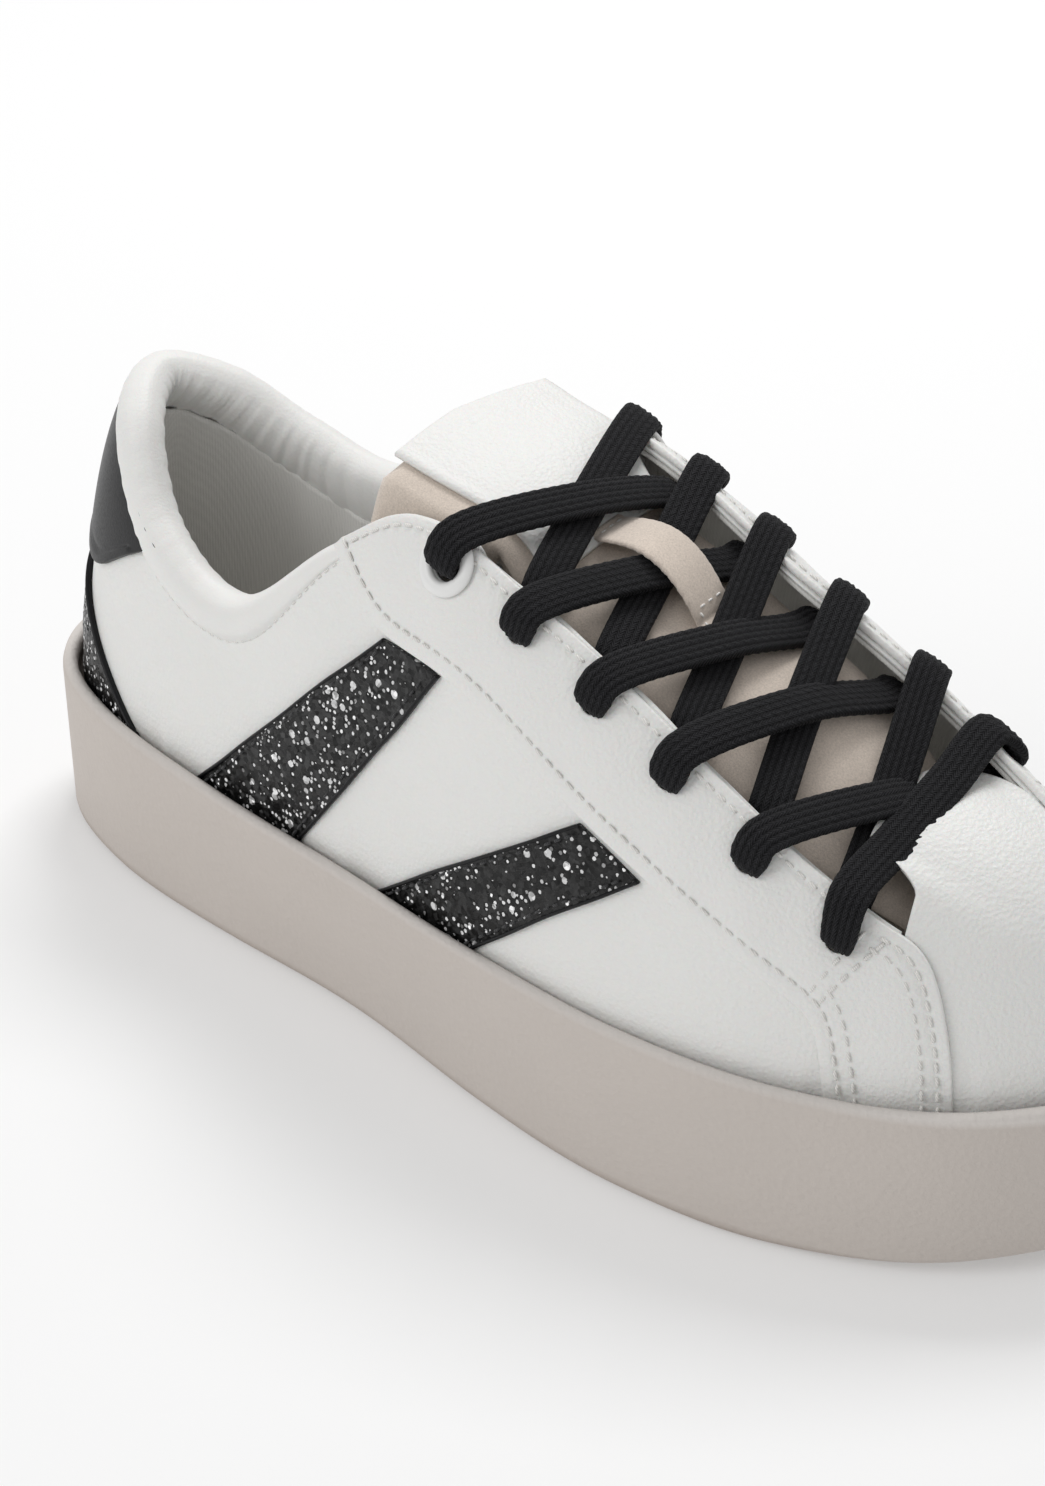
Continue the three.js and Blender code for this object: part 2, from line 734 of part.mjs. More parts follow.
add('collar_lining', 'lining', collarLining());
add('heel_stiffener', 'stiffener', wallLayer(sharedColumns(-2, 2),
  WALL_ROWS.slice(0, -2), topEdge, ...STIFFENER));
add('collar_foam', 'foam', wallLayer(sharedColumns(-3.75, 3.75),
  WALL_ROWS.slice(2), topEdge, FOAM_OUTER, (s) => liningDepth(s) - GAP));

// Heel: a smooth tab under the collar and a glitter counter below it.
const HEEL_TAB_LOWER = [[-2.02, 0.86], [-1.35, 0.49], [-0.7, 0.44], [0, 0.43],
  [0.7, 0.44], [1.35, 0.49], [2.02, 0.86]];
const HEEL_TAB_UPPER = [[-2.1, 0.93], [-1.5, 0.93], [-0.75, 0.93], [0, 0.93],
  [0.75, 0.93], [1.5, 0.93], [2.1, 0.93]];
const COUNTER_LOWER = [[-2.36, 0.12], [-1.6, 0.12], [-0.8, 0.12], [0, 0.12],
  [0.8, 0.12], [1.6, 0.12], [2.36, 0.12]];
const COUNTER_UPPER = [[-2.32, 0.17], [-1.7, 0.27], [-0.85, 0.35], [0, 0.38],
  [0.85, 0.35], [1.7, 0.27], [2.32, 0.17]];

add('heel_tab', 'black_leather', railPatch(HEEL_TAB_LOWER, HEEL_TAB_UPPER, 18, OVERLAY));
add('heel_glitter_counter', 'glitter', railPatch(COUNTER_LOWER, COUNTER_UPPER, 18, GLITTER, 2));

// Eyestay: from the collar along the throat, then down the front leg into the sole.
const EYESTAY_LOWER = [[4.02, 0.985], [4.2, 0.78], [4.45, 0.64], [4.98, 0.5],
  [5.5, 0.39], [6.08, 0.33], [6.65, 0.3], [7, 0.275], [7.12, 0.235], [7.19, 0.15],
  [7.26, 0.04]];
const EYESTAY_UPPER = {
  lateral: [[4.12, 1], [4.6, 0.985], [4.92, 0.9], [5.3, 0.75], [5.75, 0.65],
    [6.2, 0.59], [6.75, 0.56], [7.3, 0.525], [7.62, 0.485], [7.82, 0.3], [7.92, 0.04]],
  medial: [[4.12, 1], [4.6, 0.995], [4.95, 0.97], [5.3, 0.92], [5.75, 0.865],
    [6.2, 0.82], [6.75, 0.795], [7.3, 0.78], [7.7, 0.72], [7.85, 0.4], [7.92, 0.04]],
};
const EYESTAY_LOWER_MEDIAL_LIFT = 0.06;

for (const side of SIDES) {
  const turn = ([s, t]) => [mirrored(side, s), t];
  const lift = side === 'medial' ? EYESTAY_LOWER_MEDIAL_LIFT : 0;
  const lower = EYESTAY_LOWER.map(([s, t]) => turn([s, t > 0.25 && t < 0.7 ? t + lift : t]));
  const upper = EYESTAY_UPPER[side].map(turn);
  const strip = railPatch(lower, upper, 24, OVERLAY, 3);
  add(`eyestay_${side}`, 'white_leather', cutAll(strip, holeTools(side)));
}

// Two plain slanting glitter bands on each side, between the sole and the eyestay.
const BANDS = {
  rear: {
    lower: [[2.52, 0.16], [2.75, 0.24], [3.35, 0.39], [3.85, 0.54], [4.27, 0.66]],
    upper: [[3.45, 0.13], [3.65, 0.2], [4, 0.335], [4.35, 0.44], [4.64, 0.525]],
  },
  front: {
    lower: [[4.05, 0.1], [4.25, 0.145], [4.6, 0.22], [4.93, 0.29], [5.27, 0.38]],
    upper: [[4.75, 0.08], [4.93, 0.115], [5.3, 0.17], [5.65, 0.235], [6.03, 0.31]],
  },
};

for (const side of SIDES) {
  for (const [name, { lower, upper }] of Object.entries(BANDS)) {
    const turn = ([s, t]) => [mirrored(side, s), t];
    // The band runs upward, so its length is the grid's first direction.
    const band = railPatch(upper.map(turn), lower.map(turn), 10, GLITTER, 4);
    add(`glitter_band_${name}_${side}`, 'glitter', band);
  }
}

// ---- Top eyelets: a flanged ring outside, a washer inside -------------------------------

const RING_PROFILE = [[3, -3.6], [3.4, -3.6], [3.4, 2.3], [6.2, 2.3], [6.2, 2.9], [5.2, 3.4],
  [3.7, 3.4], [3, 2.9]];
const WASHER_PROFILE = [[3.7, -4.6], [5.2, -4.6], [5.2, -3.9], [3.7, -3.9]];

for (const side of SIDES) {
  add(`eyelet_ring_${side}`, 'eyelet', eyeletPart(eyelets[side][0], RING_PROFILE));
  add(`eyelet_washer_${side}`, 'eyelet', eyeletPart(eyelets[side][0], WASHER_PROFILE));
}

// ---- Tongue pieces ----------------------------------------------------------------------

const TONGUE_LAYERS = [['face', 'suede', FACE], ['foam', 'foam', TONGUE_FOAM],
  ['lining', 'lining', TONGUE_LINING]];
for (const [name, look, depths] of TONGUE_LAYERS) {
  const fixed = tongueLayer(HINGE_X + HINGE_GAP, 96, depths);
  add(`tongue_${name}`, look, name === 'lining' ? fixed : cutAll(fixed, [LACE_CLEARANCE]));
  add(`tongue_tip_${name}`, look, tongueLayer(-36, HINGE_X - HINGE_GAP, depths));
}
// The label ends short of the hinge, so that it clears the lace when the tip flexes.
const LABEL_SETBACK = 2.8;
add('tongue_label', 'white_leather',
  tongueLayer(-36, HINGE_X - HINGE_GAP - LABEL_SETBACK, [-1.5, -0.3], 0.88));

// The keeper is a strap sewn down at both ends, arched over the lace between them.
const KEEPER_START = 6;
const KEEPER_END = 27.6;
const KEEPER_HALF_WIDTH = 5.5;
const KEEPER_ARCH = 6.8;
function keeper() {
  const face = (depth) => (u, v) => {
    const x = KEEPER_START + (KEEPER_END - KEEPER_START) * u;
    const arch = KEEPER_ARCH * smooth(x, KEEPER_START, 9) * (1 - smooth(x, 24, KEEPER_END));
    return tongueFace(x, (KEEPER_HALF_WIDTH * v) / TONGUE_HALF_WIDTH, depth - arch - 0.3);
  };
  return cutAll(slab(steps(0, 1, 14), [-1, 0, 1], face(-1.2), face(0)), [LACE_CLEARANCE]);
}
add('lace_keeper', 'suede', keeper());

export default shoe;
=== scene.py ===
import bmesh
import bpy
import numpy as np
from mathutils import Matrix, Vector


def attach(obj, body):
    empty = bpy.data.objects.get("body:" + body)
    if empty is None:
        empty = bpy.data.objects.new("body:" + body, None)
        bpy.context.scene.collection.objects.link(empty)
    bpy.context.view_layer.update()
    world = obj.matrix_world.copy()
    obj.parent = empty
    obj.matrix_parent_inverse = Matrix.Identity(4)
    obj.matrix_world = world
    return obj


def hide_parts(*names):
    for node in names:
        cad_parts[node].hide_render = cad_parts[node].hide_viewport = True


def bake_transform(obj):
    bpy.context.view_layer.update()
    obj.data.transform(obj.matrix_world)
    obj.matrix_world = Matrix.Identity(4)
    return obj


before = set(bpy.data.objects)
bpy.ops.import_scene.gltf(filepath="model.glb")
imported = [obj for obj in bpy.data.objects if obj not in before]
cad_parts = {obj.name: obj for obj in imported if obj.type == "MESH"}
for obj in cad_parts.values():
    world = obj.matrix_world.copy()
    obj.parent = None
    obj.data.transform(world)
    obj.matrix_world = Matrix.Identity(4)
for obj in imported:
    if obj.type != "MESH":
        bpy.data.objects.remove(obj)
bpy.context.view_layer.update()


# ======================================================================================
# THE VIEW
# A long lens looks down on the outer side of the shoe from in front of the toe.
# ======================================================================================

camera = bpy.data.objects.new("view", bpy.data.cameras.new("view"))
camera.data.lens = 106.38
camera.data.sensor_width = 36
camera.data.clip_start = 0.05
camera.matrix_world = Matrix((
    (0.75763, -0.35259, 0.54924, 0.46660),
    (0.65259, 0.39516, -0.64650, -0.56705),
    (0.01091, 0.84824, 0.52949, 0.51732),
    (0, 0, 0, 1)))
bpy.context.scene.collection.objects.link(camera)
bpy.context.scene.camera = camera
bpy.context.scene.view_settings.view_transform = "Standard"


# ======================================================================================
# CUPSOLE
# One moulding in greige rubber: a tread, a tall side wall with a fine pebble, and a
# rounded lip that hugs the upper. The upper is cemented and sewn down inside it.
# ======================================================================================

# Stations from heel to toe along the outer side and back along the inner side. Each row:
# sole outline x, y; top of the upper x, y, z; fullness of the upper between them.
STATIONS = np.array([
    [-138, 1, -115, 1, 106, 0.55], [-128, -19, -106, -15, 101, 0.55],
    [-103, -31, -91, -24, 84, 0.5], [-67, -37.5, -68, -27, 78, 0.45],
    [-29, -41.5, -40, -27.5, 101, 0.5], [9, -45.8, -13, -19, 116, 0.8],
    [47, -47.3, 35, 3, 108, 0.93], [82, -41.5, 71, 7, 91.5, 0.87],
    [115, -24.5, 101, 8, 77, 0.76], [138, 9, 122, 8, 61, 0.72],
    [127, 32, 101, 8, 77, 0.66], [97, 45, 71, 7, 91.5, 0.74],
    [59, 47.5, 35, 3, 108, 0.85], [21, 43, -13, 21, 117, 0.8],
    [-21, 36, -40, 25, 103, 0.5], [-63, 33, -68, 24, 88, 0.45],
    [-101, 31, -90, 21, 92, 0.5], [-128, 20, -105, 14, 101, 0.55]])
LAP = 18.0
SOLE_TOP = 36.5


def through(rows, place, closed=True):
    """A table read at any place along it by uniform Catmull-Rom: between rows b and c, the
    cubic whose slopes there are half of c - a and half of d - b. Closed, the first row
    follows the last; open, the end rows are repeated."""
    count = len(rows)
    row = np.floor(place).astype(int)
    if not closed:
        row = np.minimum(row, count - 2)
    a, b, c, d = (rows[(row + k) % count if closed else np.clip(row + k, 0, count - 1)]
                  for k in (-1, 0, 1, 2))
    f = (place - row)[..., None]
    return 0.5 * (2 * b + (c - a) * f + (2 * a - 5 * b + 4 * c - d) * f ** 2
                  + (3 * b - a - 3 * c + d) * f ** 3)


def station(s):
    """The station table read at any place s around the shoe."""
    return through(STATIONS, np.mod(np.asarray(s, float), LAP))


def outline(s, inset):
    """Sole outline at s, moved in along its own left-hand normal by the inset."""
    here = station(s)
    run = station(np.asarray(s) + 0.01) - station(np.asarray(s) - 0.01)
    length = np.hypot(run[..., 0], run[..., 1])
    x = here[..., 0] - run[..., 1] / length * inset
    y = here[..., 1] + run[..., 0] / length * inset
    return x, y


def toe_spring(x):
    """Lift of the tread: a parabola from 68 mm on, 7 mm at 138 mm."""
    return 7 * (np.maximum(0, x - 68) / 70) ** 2


def waist_cut(s, height):
    """How far the wall leans in towards the ground, most at the waist of the foot."""
    cut = 1.5 + 4.5 * np.exp(-((station(s)[..., 0] + 32) / 45) ** 2)
    return cut * np.maximum(0, 1 - height / SOLE_TOP)


def ease(value, start, end):
    """0 before start, 1 after end, and 3q^2 - 2q^3 of the share q between them."""
    q = np.clip((np.asarray(value, float) - start) / (end - start), 0, 1)
    return q * q * (3 - 2 * q)


def from_heel(s):
    """Distance around the shoe from the heel, the shorter way of the lap s or LAP - s."""
    lap = np.mod(np.asarray(s, float), LAP)
    return np.minimum(lap, LAP - lap)


def overlaid(s):
    """1 where an overlay runs down into the sole, 0 where the bare leather does."""
    around = from_heel(s)
    stretches = [(-1, 2.42), (2.46, 3.62), (4.02, 4.92), (7.12, 7.98)]
    return sum(ease(around, a - 0.05, a + 0.05) * (1 - ease(around, b - 0.05, b + 0.05))
               for a, b in stretches)


def add_mesh(name, corners, faces, attributes=(), tidy=True):
    """A mesh object from corners in millimetres and quads or triangles. With tidy, its
    doubles are merged and its faces turned outwards."""
    mesh = bpy.data.meshes.new(name)
    mesh.from_pydata((np.asarray(corners) * 0.001).tolist(), [], [list(f) for f in faces])
    for key, values in dict(attributes).items():
        layer = mesh.attributes.new(key, "FLOAT_VECTOR", "POINT")
        layer.data.foreach_set("vector", np.asarray(values, np.float32).ravel())
    if tidy:
        work = bmesh.new()
        work.from_mesh(mesh)
        bmesh.ops.remove_doubles(work, verts=work.verts, dist=2e-6)
        bmesh.ops.dissolve_degenerate(work, dist=1e-7, edges=work.edges)
        bmesh.ops.recalc_face_normals(work, faces=work.faces)
        work.to_mesh(mesh)
        work.free()
    mesh.shade_smooth()
    piece = bpy.data.objects.new(name, mesh)
    bpy.context.scene.collection.objects.link(piece)
    return piece


def loft_faces(rings, around):
    """Quads between closed rings of corners that follow each other in one list."""
    i, j = np.meshgrid(np.arange(rings - 1), np.arange(around), indexing="ij")
    here, ahead, turn = i * around, (i + 1) * around, (j + 1) % around
    return np.stack([here + j, here + turn, ahead + turn, ahead + j], -1).reshape(-1, 4)


def tube(name, rings, ends="ladder", attributes=()):
    """Rings (along, around, xyz) joined into a closed body. Its two end rings are closed
    by a ladder of quads from one half of the ring to the other, or with ends "joined"
    the last ring joins the first."""
    along, around = rings.shape[:2]
    i = np.arange(along if ends == "joined" else along - 1)[:, None]
    j = np.arange(around)[None, :]
    here, ahead = i * around, (i + 1) % along * around
    turn = (j + 1) % around
    faces = np.stack([here + j, ahead + j, ahead + turn, here + turn], -1).reshape(-1, 4)
    if ends == "ladder":
        k = np.arange(around // 2 - 1)
        cap = np.stack([k, k + 1, around - 2 - k, around - 1 - k], -1)
        faces = np.concatenate([faces, cap, cap[:, ::-1] + (along - 1) * around])
    flat = {key: np.asarray(v).reshape(-1, 3) for key, v in dict(attributes).items()}
    return add_mesh(name, rings.reshape(-1, 3), faces, flat)


def both_faces(outer, inner):
    """Sections of a sheet: out over one face and back under the other."""
    return np.concatenate([outer, inner[:, ::-1]], 1)


def new_material(name, colour, roughness, **settings):
    """A material with one Principled shader. Plain numbers go straight on its sockets."""
    material = bpy.data.materials.new(name)
    material.use_nodes = True
    shader = material.node_tree.nodes["Principled BSDF"]
    shader.inputs["Base Color"].default_value = (*colour, 1)
    shader.inputs["Roughness"].default_value = roughness
    for socket, value in settings.items():
        shader.inputs[socket.replace("_", " ")].default_value = value
    return material, material.node_tree, shader


def new_group(name, inputs, outputs):
    """An empty shader node group. An input is named with its number, or with the kind of
    its socket; an output is named with its kind."""
    group = bpy.data.node_groups.new(name, "ShaderNodeTree")
    for key, value in inputs.items():
        kind = value if isinstance(value, str) else "Float"
        socket = group.interface.new_socket(key, in_out="INPUT", socket_type="NodeSocket" + kind)
        if kind != value:
            socket.default_value = value
    for key, kind in outputs.items():
        group.interface.new_socket(key, in_out="OUTPUT", socket_type="NodeSocket" + kind)
    return group, group.nodes.new("NodeGroupInput"), group.nodes.new("NodeGroupOutput")


def node(tree, kind, links=(), **settings):
    """Adds a node, sets its properties or its input values, and links its inputs."""
    made = tree.nodes.new("ShaderNode" + kind)
    for key, value in settings.items():
        if key in made.inputs or key.replace("_", " ") in made.inputs:
            made.inputs[key.replace("_", " ")].default_value = value
        else:
            setattr(made, key, value)
    for key, source in dict(links).items():
        tree.links.new(source, made.inputs[key])
    return made


def math(tree, operation, a, b=0.0):
    """One Math node on two numbers or sockets."""
    made = tree.nodes.new("ShaderNodeMath")
    made.operation = operation
    for socket, value in zip(made.inputs, (a, b)):
        if isinstance(value, (int, float)):
            socket.default_value = value
        else:
            tree.links.new(value, socket)
    return made.outputs[0]


def mix_colour(tree, factor, a, b, way="MIX"):
    """One Mix node between two colours or sockets."""
    made = tree.nodes.new("ShaderNodeMix")
    made.data_type = "RGBA"
    made.blend_type = way
    for socket, value in ((made.inputs[0], factor), (made.inputs[6], a), (made.inputs[7], b)):
        if isinstance(value, (int, float)):
            socket.default_value = value
        elif isinstance(value, tuple):
            socket.default_value = (*value, 1)
        else:
            tree.links.new(value, socket)
    return made.outputs[2]


def scaled(tree, colour, factor):
    """A colour or vector socket times a number or a socket."""
    made = node(tree, "VectorMath", {0: colour}, operation="SCALE")
    if isinstance(factor, float):
        made.inputs["Scale"].default_value = factor
    else:
        tree.links.new(factor, made.inputs["Scale"])
    return made.outputs[0]


def emboss(tree, shader, height, strength, distance, **links):
    """Raises the surface of a shader by a height socket."""
    relief = node(tree, "Bump", {"Height": height, **links}, Strength=strength,
                  Distance=distance)
    tree.links.new(relief.outputs[0], shader.inputs["Normal"])


def use_group(tree, group, **values):
    """Places a node group in a material with its own values."""
    made = tree.nodes.new("ShaderNodeGroup")
    made.node_tree = group
    for key, value in values.items():
        made.inputs[key.replace("_", " ")].default_value = value
    return made


def finish_piece(piece, material, body="shoe", stands_for=()):
    """Gives a piece its material and its body, and hides the CAD nodes it stands for."""
    piece.data.materials.clear()
    piece.data.materials.append(material)
    if body:
        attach(piece, body)
    if stands_for:
        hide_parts(*stands_for)
    return piece


# Uneven tone: slow cloudy colour change over a piece.
tone_group, given, result = new_group(
    "uneven_tone", {"Colour": "Color", "Amount": 0.05, "Scale": 40.0},
    {"Colour": "Color", "Mask": "Float"})
tree = tone_group
place = node(tree, "TexCoord").outputs["Object"]
cloud = node(tree, "TexNoise", {"Vector": place, "Scale": given.outputs["Scale"]},
             Detail=5.0, Roughness=0.6)
shift = math(tree, "MULTIPLY", math(tree, "SUBTRACT", cloud.outputs["Fac"], 0.5),
             given.outputs["Amount"])
factor = math(tree, "ADD", math(tree, "MULTIPLY", shift, 2.0), 1.0)
tree.links.new(scaled(tree, given.outputs["Colour"], factor), result.inputs["Colour"])
tree.links.new(cloud.outputs["Fac"], result.inputs["Mask"])

# Grain: irregular cells with fine noise between them, for leather and pebbled rubber.
grain_group, given, result = new_group(
    "grain", {"Cell Scale": 1200.0, "Fine Scale": 3500.0, "Cells": 0.5, "Strength": 0.3,
              "Depth": 0.0001}, {"Normal": "Vector", "Height": "Float"})
tree = grain_group
place = node(tree, "TexCoord").outputs["Object"]
warp = node(tree, "TexNoise", {"Vector": place}, Scale=300.0, Detail=2.0)
bent = node(tree, "VectorMath", {0: scaled(tree, warp.outputs["Color"], 0.0008), 1: place},
            operation="ADD")
cells = node(tree, "TexVoronoi", {"Vector": bent.outputs[0], "Scale": given.outputs["Cell Scale"]},
             feature="SMOOTH_F1", Smoothness=0.4)
fine = node(tree, "TexNoise", {"Vector": place, "Scale": given.outputs["Fine Scale"]}, Detail=3.0)
height = math(tree, "ADD", math(tree, "MULTIPLY", cells.outputs["Distance"],
                                given.outputs["Cells"]),
              math(tree, "MULTIPLY", fine.outputs["Fac"], 0.6))
relief = node(tree, "Bump", {"Height": height, "Strength": given.outputs["Strength"],
                             "Distance": given.outputs["Depth"]})
tree.links.new(relief.outputs[0], result.inputs["Normal"])
tree.links.new(height, result.inputs["Height"])


def grained_material(name, colour, roughness, tone, grain, rough_spread=0.06, **settings):
    """Principled material with cloudy tone, grain relief and uneven roughness. tone is
    (amount, scale); grain is (cell scale, fine scale, cells, strength, depth)."""
    material, tree, shader = new_material(name, colour, roughness, **settings)
    shade = use_group(tree, tone_group, Colour=(*colour, 1), Amount=tone[0], Scale=tone[1])
    relief = use_group(tree, grain_group, Cell_Scale=grain[0], Fine_Scale=grain[1],
                       Cells=grain[2], Strength=grain[3], Depth=grain[4])
    tree.links.new(shade.outputs["Colour"], shader.inputs["Base Color"])
    tree.links.new(relief.outputs["Normal"], shader.inputs["Normal"])
    spread = math(tree, "MULTIPLY", math(tree, "SUBTRACT", relief.outputs["Height"], 0.5),
                  rough_spread)
    tree.links.new(math(tree, "ADD", spread, roughness), shader.inputs["Roughness"])
    return material, tree, shader, shade


# Wall of the cupsole: from the ground edge, up the wall, over the lip, down inside.
sole_s = np.linspace(0, LAP, 721)[:-1]
wall_profile = np.array([
    [2.2, 0.0], [1.2, 0.05], [0.55, 0.35], [0.15, 0.95], [0, 1.8], [0, 6], [0, 10], [0, 15],
    [0, 20], [0, 25], [0, 29], [0, 32], [0, 34], [0.08, 35.0], [0.35, 35.8], [0.85, 36.3],
    [1.5, 36.55], [1.9, 36.6]])
lip_profile = np.array([[-0.9, 36.5], [-0.4, 36.25], [-0.1, 35.7], [0, 34.9], [0, 33.2]])
inner_profile = np.array([[2.4, 31.5], [2.5, 24], [2.5, 15], [2.5, 8], [3.2, 6.3], [5, 6]])


def sole_ring(s, inset, height):
    """A ring of the sole at one nominal height: the outline moved in, lifted by the toe
    spring at the ground and by the rising lip at the top."""
    x, y = outline(s, inset + waist_cut(s, height))
    share = np.clip(height / SOLE_TOP, 0, 1)
    rise = 3 * (np.maximum(0, x - 78) / 60) ** 2
    return np.stack([x, y, height + toe_spring(x) * (1 - share) + rise * share], -1)


def tread_groove(x, y):
    """Depth of the tread: bands of herringbone zigzag, fading out near the rim."""
    zigzag = np.abs(np.mod(y / 9, 1) - 0.5) * 9
    wave = 0.5 + 0.5 * np.cos((x + zigzag) * 2 * np.pi / 5.6)
    return 1.3 * ease(wave, 0.45, 0.75)


LIP_REACH = 3.22
rings = [sole_ring(sole_s, inset, height) for inset, height in wall_profile]
rings += [sole_ring(sole_s, LIP_REACH + back, height) for back, height in lip_profile]
rings += [sole_ring(sole_s, inset, height) for inset, height in inner_profile]
across = np.linspace(0, 1, 34)[1:]


def towards_middle(edge, across):
    """Rings that close in from an edge ring to the line midway between its two sides, one
    at each share of the way across."""
    middle = 0.5 * (edge + edge[(-np.arange(len(edge))) % len(edge)])
    return edge + (middle - edge) * across[:, None, None]


floor_rings = towards_middle(rings[-1], across)
tread_rings = towards_middle(rings[0], across)
fade = ease(across, 0.06, 0.12)[:, None]
tread_rings[..., 2] += tread_groove(tread_rings[..., 0], tread_rings[..., 1]) * fade
sole_rings = np.concatenate([tread_rings[::-1], np.array(rings), floor_rings])
cupsole = add_mesh("cupsole_rubber", sole_rings.reshape(-1, 3),
                   loft_faces(len(sole_rings), len(sole_s)))

rubber, tree, shader, shade = grained_material(
    "pebbled_rubber", (0.565, 0.515, 0.475), 0.62, (0.045, 30.0),
    (700.0, 2000.0, 0.9, 0.6, 0.0003),
    Specular_IOR_Level=0.32)
# Painted light: the lip is painted a little lighter than the wall as a highlight where light falls
# on its top, and the rim at the ground is painted darker as a shadow.
spot = node(tree, "SeparateXYZ", {"Vector": node(tree, "TexCoord").outputs["Object"]})
# Painted highlight: a lighter band over the top of the lip.
lip_highlight_mask = node(tree, "MapRange", {"Value": spot.outputs["Z"]}, From_Min=0.0352, From_Max=0.0366,
                To_Min=0.0, To_Max=0.75)
lip_highlight_colour = mix_colour(tree, lip_highlight_mask.outputs[0], shade.outputs["Colour"], (0.70, 0.665, 0.635))
# Painted shadow: the wall is darkened towards the ground, where the shoe's own shadow falls.
ground_shade_mask = node(tree, "MapRange", {"Value": spot.outputs["Z"]}, From_Min=0.0004,
                   From_Max=0.0028, To_Min=0.55, To_Max=0.0)
ground_shade_colour = mix_colour(tree, ground_shade_mask.outputs[0], lip_highlight_colour, (0.25, 0.19, 0.15))
tree.links.new(ground_shade_colour, shader.inputs["Base Color"])
finish_piece(cupsole, rubber, stands_for=["cupsole"])


# ======================================================================================
# MIDSOLE FOAM, LASTING BOARD AND FOOTBED
# A foam wedge fills the cup under a fibre board. The footbed is a textile-topped foam
# sheet laid loose on the board, with a rounded rim.
# ======================================================================================

foam_white, *_ = grained_material(
    "eva_foam", (0.72, 0.69, 0.64), 0.9, (0.05, 60.0),
    (1500.0, 4000.0, 0.8, 0.5, 0.0002))
fibre_board, *_ = grained_material(
    "fibre_board", (0.46, 0.34, 0.21), 0.88, (0.12, 120.0),
    (500.0, 3000.0, 0.3, 0.4, 0.00015))
for name, material in (("midsole_foam", foam_white), ("lasting_board", fibre_board),
                       ("toe_puff", fibre_board), ("heel_stiffener", fibre_board)):
    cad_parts[name].data.materials.clear()
    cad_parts[name].data.materials.append(material)


def wall_point(s, t):
    """The upper's wall: from the lasting edge (t 0) to its top (t 1), a mix of a straight
    rise and a squared-shouldered quarter ellipse, as full as the station says."""
    s, t = np.broadcast_arrays(np.asarray(s, float), np.asarray(t, float))
    row = station(s)
    top, k = row[..., 2:5], np.clip(row[..., 5], 0, 1)
    foot = 14 + toe_spring(row[..., 0]) * 0.7
    angle = t * np.pi / 2
    inward = (1 - k) * t + k * (1 - np.maximum(0, np.cos(angle)) ** 0.78)
    upward = (1 - k) * t + k * np.maximum(0, np.sin(angle)) ** 0.78
    z = foot + (top[..., 2] - foot) * upward
    x, y = outline(s, 4.1 + waist_cut(s, z))
    return np.stack([x + (top[..., 0] - x) * inward, y + (top[..., 1] - y) * inward, z], -1)


def full_turn(count):
    """Even angles of a full turn, in radians."""
    return np.linspace(0, 2 * np.pi, count + 1)[:-1]


def unit(v):
    """Each vector at length 1."""
    return v / np.maximum(1e-9, np.linalg.norm(v, axis=-1, keepdims=True))


def wall_normal(s, t):
    """Outward normal of the wall: the cross product of its run around and its run up."""
    around = wall_point(s + 0.02, t) - wall_point(s - 0.02, t)
    up = wall_point(s, np.minimum(1, t + 0.01)) - wall_point(s, np.maximum(0.001, t - 0.01))
    return unit(np.cross(around, up))


def skin(s, t, depth):
    """A point of a layer: the wall moved in along its normal by the layer's depth. Along
    the ridge over the toes both sides lean to one shared normal, so that layers meet."""
    s, t, depth = np.broadcast_arrays(np.mod(np.asarray(s, float), LAP),
                                      np.asarray(t, float), np.asarray(depth, float))
    normal = wall_normal(s, t)
    other = wall_normal(LAP - s, t)
    ridge = ease(t, 0.9, 1.0) * ease(from_heel(s), 6.9, 7.1)
    normal = unit(normal + other * ridge[..., None])
    return wall_point(s, t) - normal * depth[..., None]


def lining_depth(s):
    """Depth of the lining's outer face: deep at the padded collar, shallow at the throat."""
    around = from_heel(s)
    return 1.3 + 4.4 * (1 - ease(around, 3.2, 4.4)) + 1.1 * ease(around, 7.5, 7.9)


bed_s = np.linspace(0, LAP, 361)[:-1]
bed_profile = np.array([[1.6, 16.6], [1.35, 17.2], [1.3, 18.6], [1.45, 20.2], [2.0, 21.1],
                        [3.0, 21.5]])


def bed_ring(inset, height):
    """A ring of the footbed: the inside of the lining moved in, lifted at the toe."""
    point = skin(bed_s, 0.05, lining_depth(bed_s) + 0.8 + inset)
    z = height + toe_spring(point[:, 0]) * 0.62
    return np.stack([point[:, 0], point[:, 1], z], -1)


edge_rings = [bed_ring(inset, height) for inset, height in bed_profile]
across = np.linspace(0, 1, 14)[1:]
top_rings = towards_middle(edge_rings[-1], across)
under_rings = towards_middle(edge_rings[0], across)
cupping = (1 - ease(across, 0.0, 0.75))[:, None] - 1
top_rings[..., 2] += 0.9 * cupping
bed_rings = np.concatenate([under_rings[::-1], np.array(edge_rings), top_rings])
footbed = add_mesh("footbed_sheet", bed_rings.reshape(-1, 3),
                   loft_faces(len(bed_rings), len(bed_s)))
